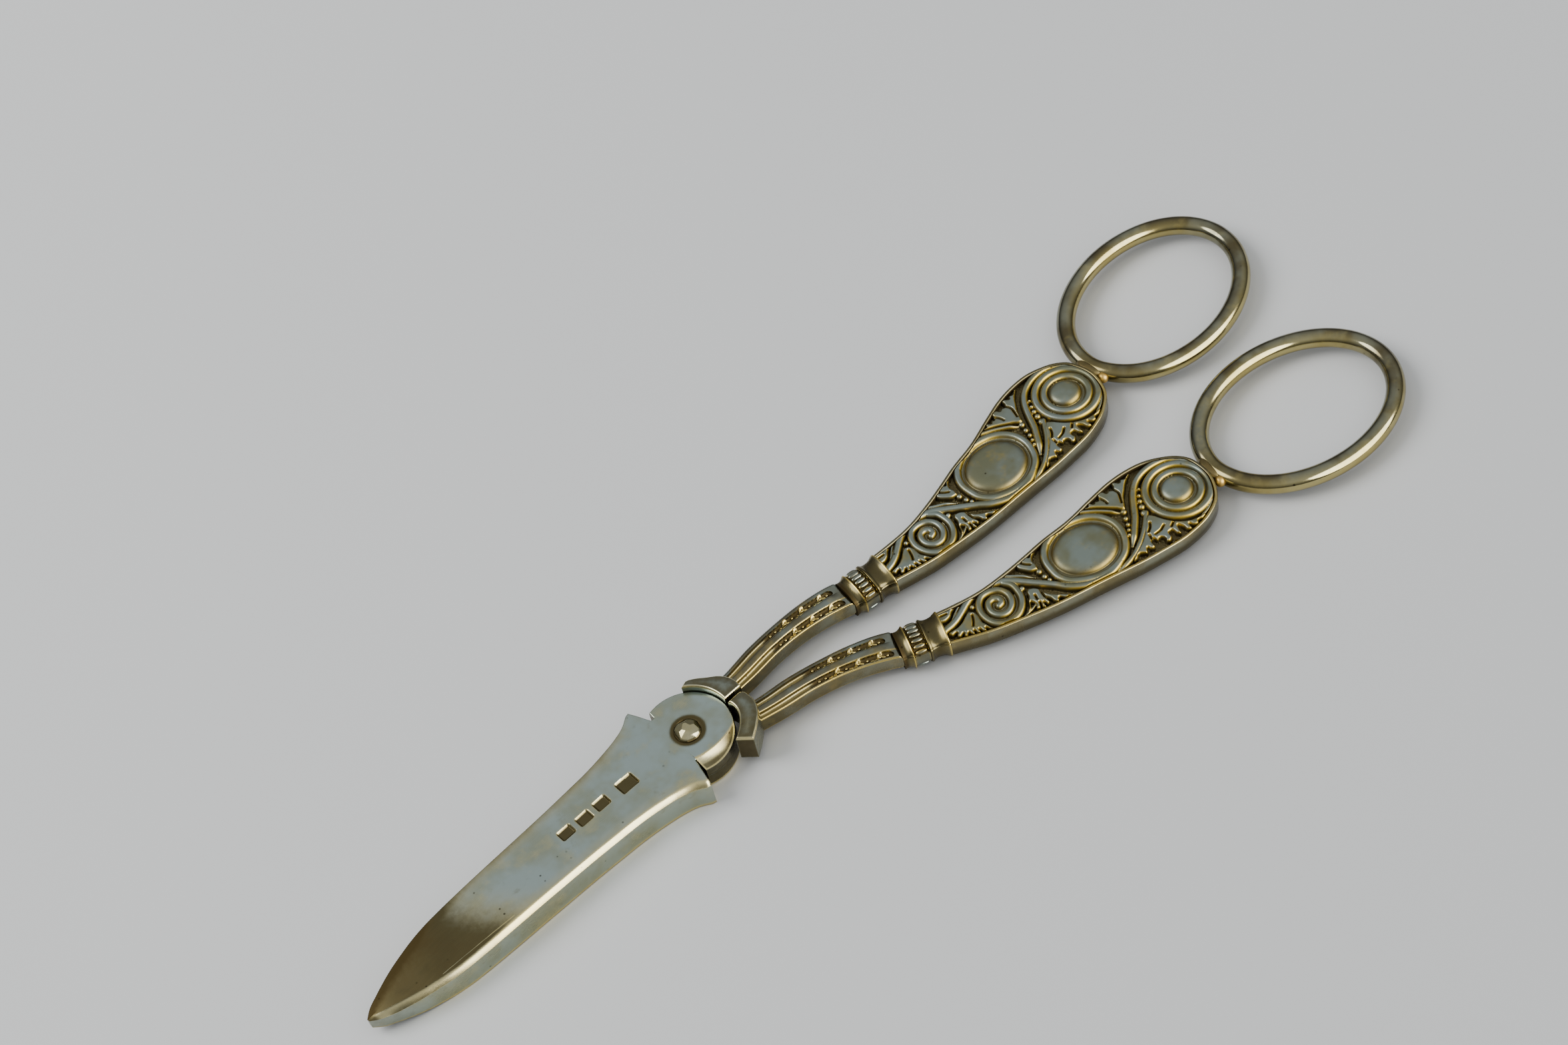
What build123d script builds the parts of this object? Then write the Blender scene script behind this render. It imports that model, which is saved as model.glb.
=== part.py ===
from build123d import *
from math import asin, cos, degrees, radians, sin
import os

# Grape shears: two silver halves crossing at one rivet, laid flat on a table.
# Millimetres, +Z up, origin on the pivot axis at table height. The blade tips point along -X and
# the finger bows along +X. The upper half has the upper blade and the handle on the +Y side.
os.makedirs("parts", exist_ok=True)

# Levels above the table
thickness = 5.0
parting = 2.5
running_gap = 0.05
mid_level = 2.5

# Blades
blade_len = 59.0
blade_half = 5.2
blade_wall = 1.6
wall_gap = 0.1
shoulder_x = 2.2
shoulder_half_left = 5.3
shoulder_half_right = 4.2
punch_size = 2.1
punch_deep = 0.2
punch_corner = 0.5

# Joint discs and their guards
disc_radius = 6.6
disc_clearance = 0.2
disc_core = 6.0
guard_bottom = 1.2
guard_top = 6.4
guard_inner = 6.72
guard_edge = 0.3

# Rivet
rivet_radius = 1.3
rivet_clearance = 0.03
head_radius = 2.0
head_height = 0.9
head_gap = 0.05
tail_radius = 2.1
tail_depth = 0.9

# Shanks
shank_start = 9.8
shank_len = 21.3
shank_half = 4.75
shank_mid = 2.75
shank_side = 1.35
shank_rib = 0.55
shank_flute = 0.55

# Lower half as it lies, turned about the pivot and moved
lower_turn = -15.59
lower_shift_x = -0.42
lower_shift_y = -3.69

# Collars between shank and handle
collar_x = shank_start + shank_len
collar_y = 0.45
collar_turn = -8.5
collar_half = 3.25
collar_side = 1.35
collar_rise = 1.1
ring_len = 1.6
band_len = 2.3
ferrule_len = 3.0
lobe_radius = 0.42
lobe_count = 7

# Handles
handle_x = collar_x + ring_len + band_len + ferrule_len
handle_len = 45.4
handle_half = 8.0
handle_wall = 1.8
rim_width = 0.45
web_half = 0.3
field_level = 3.55
boss_top = 4.95
boss_edge = 0.75
ornament_slimness = 5.675
ornament_size = min(handle_half, handle_len / ornament_slimness)
stem_radius = ornament_size * 0.0625
bead_radius = ornament_size * 0.0525
leaf_radius = ornament_size * 0.0775
oval_long = ornament_size * 0.5875
oval_short = ornament_size * 0.4625
oval_ring_long = ornament_size * 0.75
oval_ring_short = ornament_size * 0.63125
round_radius = ornament_size * 0.275
ring_inner = ornament_size * 0.39375
ring_outer = ornament_size * 0.575
ring_wire = ornament_size * 0.06

# Finger bows
bow_long = 15.7
bow_short = 11.75
bow_wire = 1.45
bow_gap = 0.05
bow_x = handle_x + handle_len + bow_long + bow_wire - bow_gap
bow_y = 4.75
bow_turn = 7.5
lug_long = 5.2
lug_wide = 2.9
lug_half = 1.15
lug_gap = 0.2
lug_x = handle_x + handle_len + lug_gap
lug_y = 3.1

# Half width of a blade: shares of its length from the pivot, and of its half width
blade_shares = [
    (-1.0, 0.05), (-0.985, 0.18), (-0.95, 0.355), (-0.915, 0.5), (-0.88, 0.625), (-0.845, 0.725),
    (-0.81, 0.81), (-0.76, 0.89), (-0.7, 0.935), (-0.6, 0.97), (-0.5, 1.0), (-0.37, 1.05),
    (-0.24, 1.135), (-0.17, 1.24), (-0.13, 1.34), (-0.09, 1.53), (-0.061, 1.74),
]
# Top and underside of a blade: shares of its length, and of the whole thickness
top_shares = [(0.2, 1.0), (-0.4, 1.0), (-0.6, 0.97), (-0.8, 0.9), (-0.92, 0.79), (-1.02, 0.63)]
under_shares = [(-1.02, 0.34), (-0.965, 0.19), (-0.9, 0.07), (-0.82, 0.0), (0.2, 0.0)]
# Middles of the plain sunk marks on the upper blade, in the same shares as its outline
punch_shares = [(-0.377, 0.16), (-0.322, 0.1), (-0.269, 0.09), (-0.196, 0.02)]
# Guards in plan, as shares of the joint disc's radius
upper_guard_shares = [
    (0.59, 0.81), (0.76, 0.86), (0.89, 0.8), (1.14, 0.58), (1.35, 0.39), (1.48, 0.11), (1.48, -0.14),
    (0.85, -0.14), (0.75, 0.0), (0.7, 0.4), (0.54, 0.72),
]
lower_guard_shares = [
    (0.85, -0.24), (1.18, -0.21), (1.32, -0.23), (1.41, -0.31), (1.42, -0.45), (1.41, -0.64),
    (1.27, -0.9), (1.03, -1.12), (0.74, -1.33), (0.48, -1.05), (0.4, -0.75), (0.7, -0.4),
]
# Shank stations: share of the length, edge shares of the half width, and share of the relief
shank_shares = [
    (-0.13, 0.0, 0.8, 0.1), (0.0, 0.0, 0.81, 0.1), (0.05, 0.0, 0.84, 0.8), (0.27, 0.05, 0.97, 1.0),
    (0.5, 0.08, 1.0, 1.0), (0.75, -0.06, 0.945, 1.0), (0.9, -0.24, 0.84, 1.0),
    (0.965, -0.35, 0.77, 0.8), (1.04, -0.5, 0.66, 0.1),
]
# Rim, two flutes, rib and land across a shank, as shares of its width there
across_shares = [0.0, 0.08, 0.27, 0.73, 0.92, 1.0]
# Collar swell along each ring, as shares of the ring's length and of the collar section
neck_shares = [(0.0, 0.85), (0.35, 0.84), (0.75, 0.91), (1.0, 1.0)]
band_share = 0.87
ferrule_shares = [(0.0, 0.98), (0.25, 0.9), (0.65, 0.93), (1.0, 1.05)]
# Handle outline: shares of its length, and of its half width
handle_shares = [
    (-0.03, 0.3), (0.155, 0.265), (0.265, 0.36), (0.42, 0.59), (0.53, 0.715), (0.64, 0.91),
    (0.78, 1.085), (0.86, 1.06), (0.945, 0.85), (0.99, 0.45), (1.0, 0.14), (0.97, -0.36),
    (0.915, -0.625), (0.825, -0.8), (0.695, -0.855), (0.505, -0.825), (0.33, -0.79), (0.23, -0.725),
    (0.13, -0.65), (-0.03, -0.43),
]
inset_steps = 30
# Ornament ridges on the handle plates, in the same shares as the outline
stem_shares = [
    (0.03, -0.06), (0.07, 0.02), (0.1, 0.16), (0.145, 0.24), (0.19, 0.27), (0.235, 0.22), (0.285, 0.06),
    (0.33, -0.15), (0.39, -0.48), (0.45, -0.64), (0.515, -0.7), (0.575, -0.62),
]
volute_shares = [
    (0.225, 0.12), (0.255, -0.04), (0.26, -0.24), (0.235, -0.46), (0.195, -0.57), (0.15, -0.53),
    (0.13, -0.36), (0.132, -0.12), (0.155, 0.02), (0.185, 0.03), (0.21, -0.08), (0.212, -0.24),
    (0.19, -0.34),
]
loop_shares = [
    (0.975, 0.6), (0.93, 0.82), (0.885, 0.9), (0.84, 0.89), (0.805, 0.82), (0.78, 0.7), (0.75, 0.49),
    (0.72, 0.22), (0.695, -0.02), (0.665, -0.25),
]
branch_shares = [(0.735, -0.1), (0.715, -0.25), (0.685, -0.43), (0.645, -0.6), (0.6, -0.7)]
oval_share = (0.523, 0.0)
round_share = (0.884, 0.2)
bead_shares = [
    (0.771, 0.45), (0.76, 0.335), (0.75, 0.22), (0.74, 0.09), (0.682, 0.14), (0.676, 0.01), (0.667, -0.1),
    (0.11, 0.0), (0.28, -0.14), (0.35, 0.04), (0.357, -0.1), (0.372, -0.23),
]
# Leaves: the root first and then the tip of each lobe
leaf_shares = [
    [(0.105, -0.13), (0.03, -0.29), (0.045, -0.39), (0.07, -0.47), (0.1, -0.53)],
    [(0.29, -0.24), (0.235, -0.64), (0.27, -0.66), (0.315, -0.69), (0.375, -0.7)],
    [(0.365, 0.14), (0.305, 0.34), (0.345, 0.38), (0.275, 0.23)],
    [(0.705, 0.37), (0.785, 0.93), (0.735, 0.88), (0.68, 0.83), (0.625, 0.74)],
    [(0.755, -0.13), (0.86, -0.62), (0.815, -0.68), (0.775, -0.72), (0.725, -0.73)],
]


def on_handle(shares):
    """Plan points on a handle from shares of its length and half width."""
    return [(handle_x + u * handle_len, v * handle_half) for u, v in shares]


def slab(edges, low, high):
    """A plate between two levels whose plan is closed by the edges given."""
    return Pos(0, 0, low) * extrude(make_face(Wire(edges)), high - low)


def disc(radius, low, high):
    """A disc on the pivot axis between two levels."""
    return Pos(0, 0, low) * extrude(Circle(radius), high - low)


def largest(shape):
    """The one solid that matters where a cut leaves crumbs."""
    return shape.solids().sort_by(SortBy.VOLUME)[-1]


def as_lower(shape):
    """Moves a piece drawn for the upper half to where the lower half lies."""
    return Pos(lower_shift_x, lower_shift_y, 0) * Rot(0, 0, lower_turn) * shape


# Blades: the upper one is a plate with a wall down its right side, and the lower one a plain plate
def blade_plan(low, high):
    side = [(u * blade_len, v * blade_half) for u, v in blade_shares]
    other = [(x, -y) for x, y in side]
    left_foot = (-shoulder_x, shoulder_half_left)
    right_foot = (-shoulder_x, -shoulder_half_right)
    edges = [
        Spline(*side),
        Line(side[-1], left_foot),
        Line(left_foot, right_foot),
        Line(right_foot, other[-1]),
        Spline(*other),
        Line(other[0], side[0]),
    ]
    return slab(edges, low, high)


def blade_side():
    outline = [(u * blade_len, v * thickness) for u, v in top_shares + under_shares]
    return extrude(Plane.XZ * make_face(Polyline(*outline, close=True)), 2 * blade_half, both=True)


def guard(shares):
    plan = [(u * disc_radius, v * disc_radius) for u, v in shares]
    block = slab(Polyline(*plan, close=True).edges(), guard_bottom, guard_top)
    block -= disc(disc_core, 0, guard_top)
    block -= disc(guard_inner, thickness, guard_top)
    return chamfer(block.edges().group_by(Axis.Z)[-1], guard_edge)


upper_low = parting + running_gap
lower_high = parting - running_gap
side_form = blade_side()
wall = blade_plan(0, upper_low) - Pos(0, blade_wall, 0) * blade_plan(0, upper_low)
wall = largest((wall & side_form) - disc(disc_radius + disc_clearance, 0, upper_low))
upper_guard = guard(upper_guard_shares) - disc(disc_radius + disc_clearance, 0, upper_low)
upper_blade = (blade_plan(upper_low, thickness) & side_form) + disc(disc_radius, upper_low, thickness)
upper_blade = upper_blade + wall + upper_guard
mark = extrude(RectangleRounded(punch_size, punch_size, punch_corner), thickness)
for u, v in punch_shares:
    upper_blade -= Pos(u * blade_len, v * blade_half, thickness - punch_deep) * mark
upper_blade = largest(upper_blade - disc(rivet_radius + rivet_clearance, 0, guard_top))

lower_blade = (blade_plan(0, lower_high) & side_form) & (
    Pos(0, blade_wall + wall_gap, 0) * blade_plan(0, lower_high)
)
lower_guard = guard(lower_guard_shares) - disc(disc_radius + disc_clearance, lower_high, guard_top)
lower_blade = lower_blade + disc(disc_radius, 0, lower_high) + lower_guard
tail = Cone(tail_radius, rivet_radius, tail_depth, align=(Align.CENTER, Align.CENTER, Align.MIN))
lower_blade = largest(lower_blade - disc(rivet_radius, 0, guard_top) - tail)

# Rivet: a shank through both discs, a tail spread into the countersink, and a domed head above
head_low = thickness + head_gap
dome_radius = (head_radius**2 + head_height**2) / (2 * head_height)
dome = Pos(0, 0, head_low + head_height - dome_radius) * Sphere(dome_radius)
dome &= disc(2 * head_radius, head_low, head_low + 2 * head_height)
pivot_rivet = disc(rivet_radius, 0, head_low) + tail + dome


# Shanks: on both faces a convex rib between two flutes, with a land outside and a thin rim inside
def shank_section(station):
    s, inner, outer, relief = station
    x = shank_start + s * shank_len
    low, high = inner * shank_half, outer * shank_half
    y = [low + (high - low) * t for t in across_shares]
    middle = [(a + b) / 2 for a, b in zip(y, y[1:])]
    lift = [0, -shank_flute * relief, shank_rib * relief, -shank_flute * relief, 0]
    edges = []
    for way in (1, -1):
        face = shank_mid + way * shank_side
        for i in range(5):
            a, b = (x, y[i], face), (x, y[i + 1], face)
            if lift[i]:
                edges.append(ThreePointArc(a, (x, middle[i], face + way * lift[i]), b))
            else:
                edges.append(Line(a, b))
    for edge_y in (low, high):
        edges.append(Line((x, edge_y, shank_mid - shank_side), (x, edge_y, shank_mid + shank_side)))
    return Face(Wire(edges))


turn = radians(collar_turn)
along = (cos(turn), sin(turn), 0)


def collar_plane(s):
    """The cross plane at a distance along the collars, its own X running across and Y up."""
    origin = (collar_x + s * along[0], collar_y + s * along[1], mid_level)
    return Plane(origin=origin, x_dir=(-along[1], along[0], 0), z_dir=along)


def slice_box(size):
    return Box(size, size, size, align=(Align.CENTER, Align.CENTER, Align.MIN))


shank = loft([shank_section(station) for station in shank_shares])
shank -= collar_plane(0) * slice_box(shank_len)


# Collars: D-section rings with arched faces and plain sides
def collar_section(s, k):
    half, side, rise = collar_half * k, collar_side * k, collar_rise * k
    outline = [
        Line((half, -side), (half, side)),
        ThreePointArc((half, side), (0, side + rise), (-half, side)),
        Line((-half, side), (-half, -side)),
        ThreePointArc((-half, -side), (0, -side - rise), (half, -side)),
    ]
    return collar_plane(s) * make_face(Wire(outline))


def collar(start, length, shares):
    return loft([collar_section(start + t * length, k) for t, k in shares])


def lens(length, radius):
    """A long bead with pointed ends, lying along +Z about the origin."""
    arc = ThreePointArc((0, -length / 2), (radius, 0), (0, length / 2))
    half = make_face(Wire([arc, Line((0, length / 2), (0, -length / 2))]))
    return revolve(Plane.XZ * half, Axis.Z)


neck_ring = collar(0, ring_len, neck_shares)
gadroon_band = collar(ring_len, band_len, [(0, band_share), (1, band_share)])
arch_half, arch_rise = collar_half * band_share, collar_rise * band_share
arch_radius = (arch_half**2 + arch_rise**2) / (2 * arch_rise)
arch_angle = degrees(asin(arch_half / arch_radius))
arch_centre = (collar_side + collar_rise) * band_share - arch_radius
lobe = lens(band_len, lobe_radius)
for way in (1, -1):
    for i in range(lobe_count):
        angle = radians(arch_angle * (2 * (i + 0.5) / lobe_count - 1))
        at = Pos(arch_radius * sin(angle), way * (arch_centre + arch_radius * cos(angle)), 0)
        gadroon_band += collar_plane(ring_len + band_len / 2) * at * lobe
ferrule_start = ring_len + band_len
ferrule = collar(ferrule_start, ferrule_len, ferrule_shares)
handle_cut = collar_plane(ferrule_start + ferrule_len) * Rot(180, 0, 0) * slice_box(handle_len)

# Handles: a frame with plain walls, and in each face a struck plate held inside a thin rim
handle_edge = Spline(*on_handle(handle_shares))
inside_points = []
for i in range(inset_steps + 1):
    heading = handle_edge % (i / inset_steps)
    inside_points.append(handle_edge @ (i / inset_steps) + Vector(heading.Y, -heading.X) * rim_width)
field_edge = Spline(*inside_points)
outline = make_face(Wire([handle_edge, Line(handle_edge @ 1, handle_edge @ 0)]))
field = make_face(Wire([field_edge, Line(field_edge @ 1, field_edge @ 0)]))
web_top = mid_level + web_half
pocket = Pos(0, 0, web_top) * extrude(field, thickness) - handle_cut
under_pocket = mirror(pocket, Plane.XY.offset(mid_level))
handle = Pos(0, 0, mid_level - handle_wall) * extrude(outline, 2 * handle_wall) - handle_cut
handle = handle - pocket - under_pocket


# Ornament: cushions inside rings, round ridges, beads and leaves standing on the plate
def ridge(shares):
    path = Pos(0, 0, field_level) * Spline(*on_handle(shares))
    return sweep(Plane(origin=path @ 0, z_dir=path % 0) * Circle(stem_radius), path=path)


def cushion(plan, share):
    (x, y), = on_handle([share])
    block = Pos(x, y, web_top) * extrude(plan, boss_top - web_top)
    return fillet(block.edges().group_by(Axis.Z)[-1], boss_edge)


def leaf(shares):
    root, *tips = on_handle(shares)
    lobes = []
    for tip in tips:
        span = Vector(*tip) - Vector(*root)
        way = Plane(origin=(root[0] + span.X / 2, root[1] + span.Y / 2, field_level), z_dir=span)
        lobes.append(way * lens(span.length, leaf_radius))
    return lobes


relief = [ridge(shares) for shares in (stem_shares, volute_shares, loop_shares, branch_shares)]
relief += [cushion(Ellipse(oval_long, oval_short), oval_share), cushion(Circle(round_radius), round_share)]
oval_at, round_at, *bead_at = on_handle([oval_share, round_share] + bead_shares)
oval_path = Pos(oval_at[0], oval_at[1], field_level) * Ellipse(oval_ring_long, oval_ring_short).edge()
relief.append(sweep(Plane(origin=oval_path @ 0, z_dir=oval_path % 0) * Circle(ring_wire), path=oval_path))
for radius in (ring_inner, ring_outer):
    relief.append(Pos(round_at[0], round_at[1], field_level) * Torus(radius, ring_wire))
relief += [Pos(x, y, field_level) * Sphere(bead_radius) for x, y in bead_at]
for shares in leaf_shares:
    relief += leaf(shares)
plate = Pos(0, 0, web_top) * extrude(field, field_level - web_top) - handle_cut
front_plate = plate
for piece in relief:
    front_plate += piece & pocket
front_plate = largest(front_plate)
back_plate = mirror(front_plate, Plane.XY.offset(mid_level))

# Finger bows: a drawn wire bent to an oval, and a saddle of solder that holds it to the handle end
bow_place = Pos(bow_x, bow_y, mid_level) * Rot(0, 0, bow_turn)
bow_path = bow_place * Ellipse(bow_long, bow_short).edge()
bow = sweep(Plane(origin=bow_path @ 0, z_dir=bow_path % 0) * Circle(bow_wire), path=bow_path)
lug = Pos(lug_x, lug_y, mid_level - lug_half) * Rot(0, 0, bow_turn) * extrude(
    Ellipse(lug_wide / 2, lug_long / 2), 2 * lug_half
)
bow_lug = largest(lug - extrude(outline, thickness) - bow)

# Both halves: the same pieces, cut where they meet their own blade
half_pieces = {
    "neck_ring": neck_ring,
    "gadroon_band": gadroon_band,
    "ferrule": ferrule,
    "handle": handle,
    "front_plate": front_plate,
    "back_plate": back_plate,
    "bow": bow,
    "bow_lug": bow_lug,
}
nodes = {
    "upper_blade": upper_blade,
    "lower_blade": lower_blade,
    "pivot_rivet": pivot_rivet,
    "upper_shank": largest(shank - upper_blade),
    "lower_shank": largest(as_lower(shank) - lower_blade),
}
for name, piece in half_pieces.items():
    nodes["upper_" + name] = piece
    nodes["lower_" + name] = as_lower(piece)
for name, piece in nodes.items():
    export_step(piece, "parts/" + name + ".step")
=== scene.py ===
import math

import bmesh
import bpy
import numpy as np
from mathutils import Matrix, Vector


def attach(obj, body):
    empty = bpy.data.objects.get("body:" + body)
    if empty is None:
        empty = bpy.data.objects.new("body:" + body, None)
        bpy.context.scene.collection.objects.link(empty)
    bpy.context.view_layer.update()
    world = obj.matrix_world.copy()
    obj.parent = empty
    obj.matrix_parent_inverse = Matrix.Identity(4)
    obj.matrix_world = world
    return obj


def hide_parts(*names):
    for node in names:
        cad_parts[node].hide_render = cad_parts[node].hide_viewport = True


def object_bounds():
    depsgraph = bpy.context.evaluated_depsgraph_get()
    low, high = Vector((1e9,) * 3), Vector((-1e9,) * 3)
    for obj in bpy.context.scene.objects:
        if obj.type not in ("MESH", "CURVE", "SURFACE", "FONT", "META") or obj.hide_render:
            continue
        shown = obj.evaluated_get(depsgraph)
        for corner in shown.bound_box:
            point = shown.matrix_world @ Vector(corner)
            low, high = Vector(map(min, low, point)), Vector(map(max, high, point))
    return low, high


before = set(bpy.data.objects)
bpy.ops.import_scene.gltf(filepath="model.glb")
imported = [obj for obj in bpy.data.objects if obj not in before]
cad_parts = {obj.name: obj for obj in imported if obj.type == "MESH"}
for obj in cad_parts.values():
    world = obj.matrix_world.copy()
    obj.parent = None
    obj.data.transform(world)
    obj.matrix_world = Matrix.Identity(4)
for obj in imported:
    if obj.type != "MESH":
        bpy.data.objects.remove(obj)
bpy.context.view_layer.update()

# View
# A close look down on the shears from beyond the blade tips, with the blades pointing to the lower left
# corner and the bows at the upper right. Lengths are millimetres and angles are radians.
look_at = Vector((35.897, 19.332, 0.0)) / 1000
standoff = 457.74 / 1000
look_down, swing, tilt = 0.8999, -0.5512, -0.2611
lens, film_width = 71.28, 36.0
nearest, farthest = 0.02, 20.0
level = math.cos(look_down)
back = Vector((math.sin(swing) * level, -math.cos(swing) * level, math.sin(look_down)))
right = (-back).cross(Vector((0, 0, 1))).normalized()
up = right.cross(-back)
turned_right = math.cos(tilt) * right + math.sin(tilt) * up
turned_up = -math.sin(tilt) * right + math.cos(tilt) * up
axes = Matrix((turned_right, turned_up, back)).transposed().to_4x4()
camera = bpy.data.objects.new("view", bpy.data.cameras.new("view"))
camera.data.lens, camera.data.sensor_width = lens, film_width
camera.data.clip_start, camera.data.clip_end = nearest, farthest
camera.matrix_world = Matrix.Translation(look_at + back * standoff) @ axes
bpy.context.scene.collection.objects.link(camera)
bpy.context.scene.camera = camera


# Blades
# Two forged silver blades, filed flat and polished, then gilt. The upper one is a plate with a wall
# down its right side, and the lower one is a plain plate that closes inside that wall.
parting, gap = 2.5, 0.05
upper_tip, lower_tip, disc_radius = -59.0, -57.9, 6.6
horn_x, horn_half, horn_worn = -3.6, 9.05, 0.28
# The shoulder from horn to disc on each side: its slope, and where and how far out the notch below it lies.
left_shoulder, right_shoulder = (2.75, -1.62, 5.3), (4.2, -2.35, 4.4)
blade_half_widths = [
    (-59.0, 0.25), (-58.0, 1.0), (-56.0, 1.85), (-54.0, 2.6), (-52.0, 3.25), (-50.0, 3.75), (-48.0, 4.2),
    (-45.0, 4.65), (-42.0, 4.85), (-38.0, 5.0), (-30.0, 5.2), (-22.0, 5.45), (-18.0, 5.65), (-14.0, 5.9),
    (-10.0, 6.45), (-8.0, 6.85), (-5.4, 7.8), (-4.3, 8.55), (horn_x, horn_half),
]
blade_top = [
    (-60.0, 3.15), (-55.0, 3.9), (-50.0, 4.35), (-42.0, 4.75), (-34.0, 4.95), (-24.0, 5.0), (8.0, 5.0),
]
blade_under = [(-60.0, 1.7), (-57.0, 1.0), (-53.0, 0.35), (-49.0, 0.02), (-40.0, 0.0), (8.0, 0.0)]


def smooth_value(knots, x):
    """The height at x of a smooth line through the knots: cubic pieces whose slope at each knot is the mean
    of its neighbours' slopes."""
    kx, ky = np.array(knots, float).T
    slope = np.gradient(ky, kx)
    i = np.clip(np.searchsorted(kx, x) - 1, 0, len(kx) - 2)
    h = kx[i + 1] - kx[i]
    t = np.clip((x - kx[i]) / h, 0, 1)
    return (
        (2 * t**3 - 3 * t**2 + 1) * ky[i] + (t**3 - 2 * t**2 + t) * h * slope[i]
        + (3 * t**2 - 2 * t**3) * ky[i + 1] + (t**3 - t**2) * h * slope[i + 1]
    )


def distance_to(points, line):
    """The distance from each plan point to the nearest straight piece of a line: the point's foot on each
    piece is a + t (b - a), with t cut to 0..1."""
    a, b = line[:-1], line[1:]
    best = np.full(points.shape[:-1], np.inf)
    for start, step in zip(a, b - a):
        t = np.clip(((points - start) @ step) / max(step @ step, 1e-12), 0, 1)
        best = np.minimum(best, np.linalg.norm(points - start - t[..., None] * step, axis=-1))
    return best


def soft_step(low, high, x):
    """0 below low, 1 above high and 3t^2 - 2t^3 between."""
    t = np.clip((x - low) / (high - low), 0, 1)
    return t * t * (3 - 2 * t)


def bell(distance, wide, power=2):
    """1 at no distance, falling off on both sides: exp(-(distance / width)^power)."""
    return np.exp(-((distance / wide) ** power))


def rounded(distance, radius):
    """How far a face drops at a distance inside an edge of that radius: r - sqrt(r^2 - (r - d)^2)."""
    short = np.clip(radius - distance, 0, radius)
    return radius - np.sqrt(np.maximum(radius**2 - short**2, 0))


def under_columns(count, keep):
    """The columns the underside keeps: each one whose number divides by keep, and the last."""
    return np.unique(np.append(np.arange(0, count, keep), count - 1))[::-1]


def plate_rings(plan, top, under, keep=1):
    """Rings for a plate: across its top face, down one side, back across its underside and up the other
    side, over plan points (stations, across, 2). Each side has a column close under the top and two close
    over the foot, so that its wear and painted light values do not run into those of the faces."""
    side_shares = np.array([0.05, 0.86, 0.95])
    upper = np.concatenate([plan, top[..., None]], axis=-1)
    lower = np.concatenate([plan, under[..., None]], axis=-1)[:, under_columns(plan.shape[1], keep)]
    down = [upper[:, -1:] + (lower[:, :1] - upper[:, -1:]) * t for t in side_shares]
    rise = [lower[:, -1:] + (upper[:, :1] - lower[:, -1:]) * t for t in 1 - side_shares[::-1]]
    return np.concatenate([upper, *down, lower, *rise], axis=1)


def both_faces(values, under, side, foot=None, keep=1):
    """Values in the order of plate_rings, from those of the top face, the underside, the two sides and the
    foot of each side."""
    under = np.broadcast_to(under, values.shape)[:, under_columns(values.shape[1], keep)]
    side = np.broadcast_to(np.reshape(side, (-1, 1)), (len(values), 1))
    foot = side if foot is None else np.full_like(side, foot)
    return np.concatenate([values, side, side, foot, under, foot, side, side], axis=1)


def make_skin(name, rings, half, silver, wear_and_light, round_trip=False, sharp=32):
    """A closed skin over rings of points (stations, points round, 3). Quads join each ring to the next and
    the last point to the first, and the end rings get caps unless the rings come round to the first. Edges
    that turn by more than the sharp angle, in degrees, stay crisp."""
    n, m = rings.shape[:2]
    i, j = np.meshgrid(np.arange(n if round_trip else n - 1), np.arange(m), indexing="ij")
    i1, j1 = (i + 1) % n, (j + 1) % m
    faces = np.stack([i * m + j, i * m + j1, i1 * m + j1, i1 * m + j], axis=-1).reshape(-1, 4).tolist()
    if not round_trip:
        faces += [list(range(m))[::-1], list(range((n - 1) * m, n * m))]
    mesh = bpy.data.meshes.new(name)
    mesh.from_pydata((rings.reshape(-1, 3) / 1000).tolist(), [], faces)
    # The wear and painted light values ride on the points, and the material reads them.
    for key in ("dark", "gilt_and_gleam"):
        values = np.broadcast_to(wear_and_light[key], (n, m)).astype(np.float32)
        mesh.attributes.new(key, "FLOAT", "POINT").data.foreach_set("value", values.ravel())
    shell = bmesh.new()
    shell.from_mesh(mesh)
    weld_metres = 2e-7
    bmesh.ops.remove_doubles(shell, verts=shell.verts, dist=weld_metres)
    bmesh.ops.recalc_face_normals(shell, faces=shell.faces)
    shell.to_mesh(mesh)
    shell.free()
    mesh.polygons.foreach_set("use_smooth", [True] * len(mesh.polygons))
    mesh.set_sharp_from_angle(angle=math.radians(sharp))
    piece = bpy.data.objects.new(name, mesh)
    bpy.context.scene.collection.objects.link(piece)
    mesh.materials.append(silver)
    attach(piece, half + "_half")
    return piece


def srgb(code):
    """A linear colour from a hex code: each share c of 255 becomes ((c + 0.055) / 1.055)^2.4, or c / 12.92
    when it is small."""
    shares = [int(code[k : k + 2], 16) / 255 for k in (1, 3, 5)]
    return tuple(c / 12.92 if c <= 0.04045 else ((c + 0.055) / 1.055) ** 2.4 for c in shares) + (1.0,)


def add_node(tree, kind, sockets=None, **settings):
    """Adds a node with its own settings. A socket given another node's output is linked to it, and any other
    value is set."""
    node = tree.nodes.new(kind)
    for key, value in settings.items():
        setattr(node, key, value)
    for key, value in (sockets or {}).items():
        if isinstance(value, bpy.types.NodeSocket):
            tree.links.new(value, node.inputs[key])
        else:
            node.inputs[key].default_value = value
    return node


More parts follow.
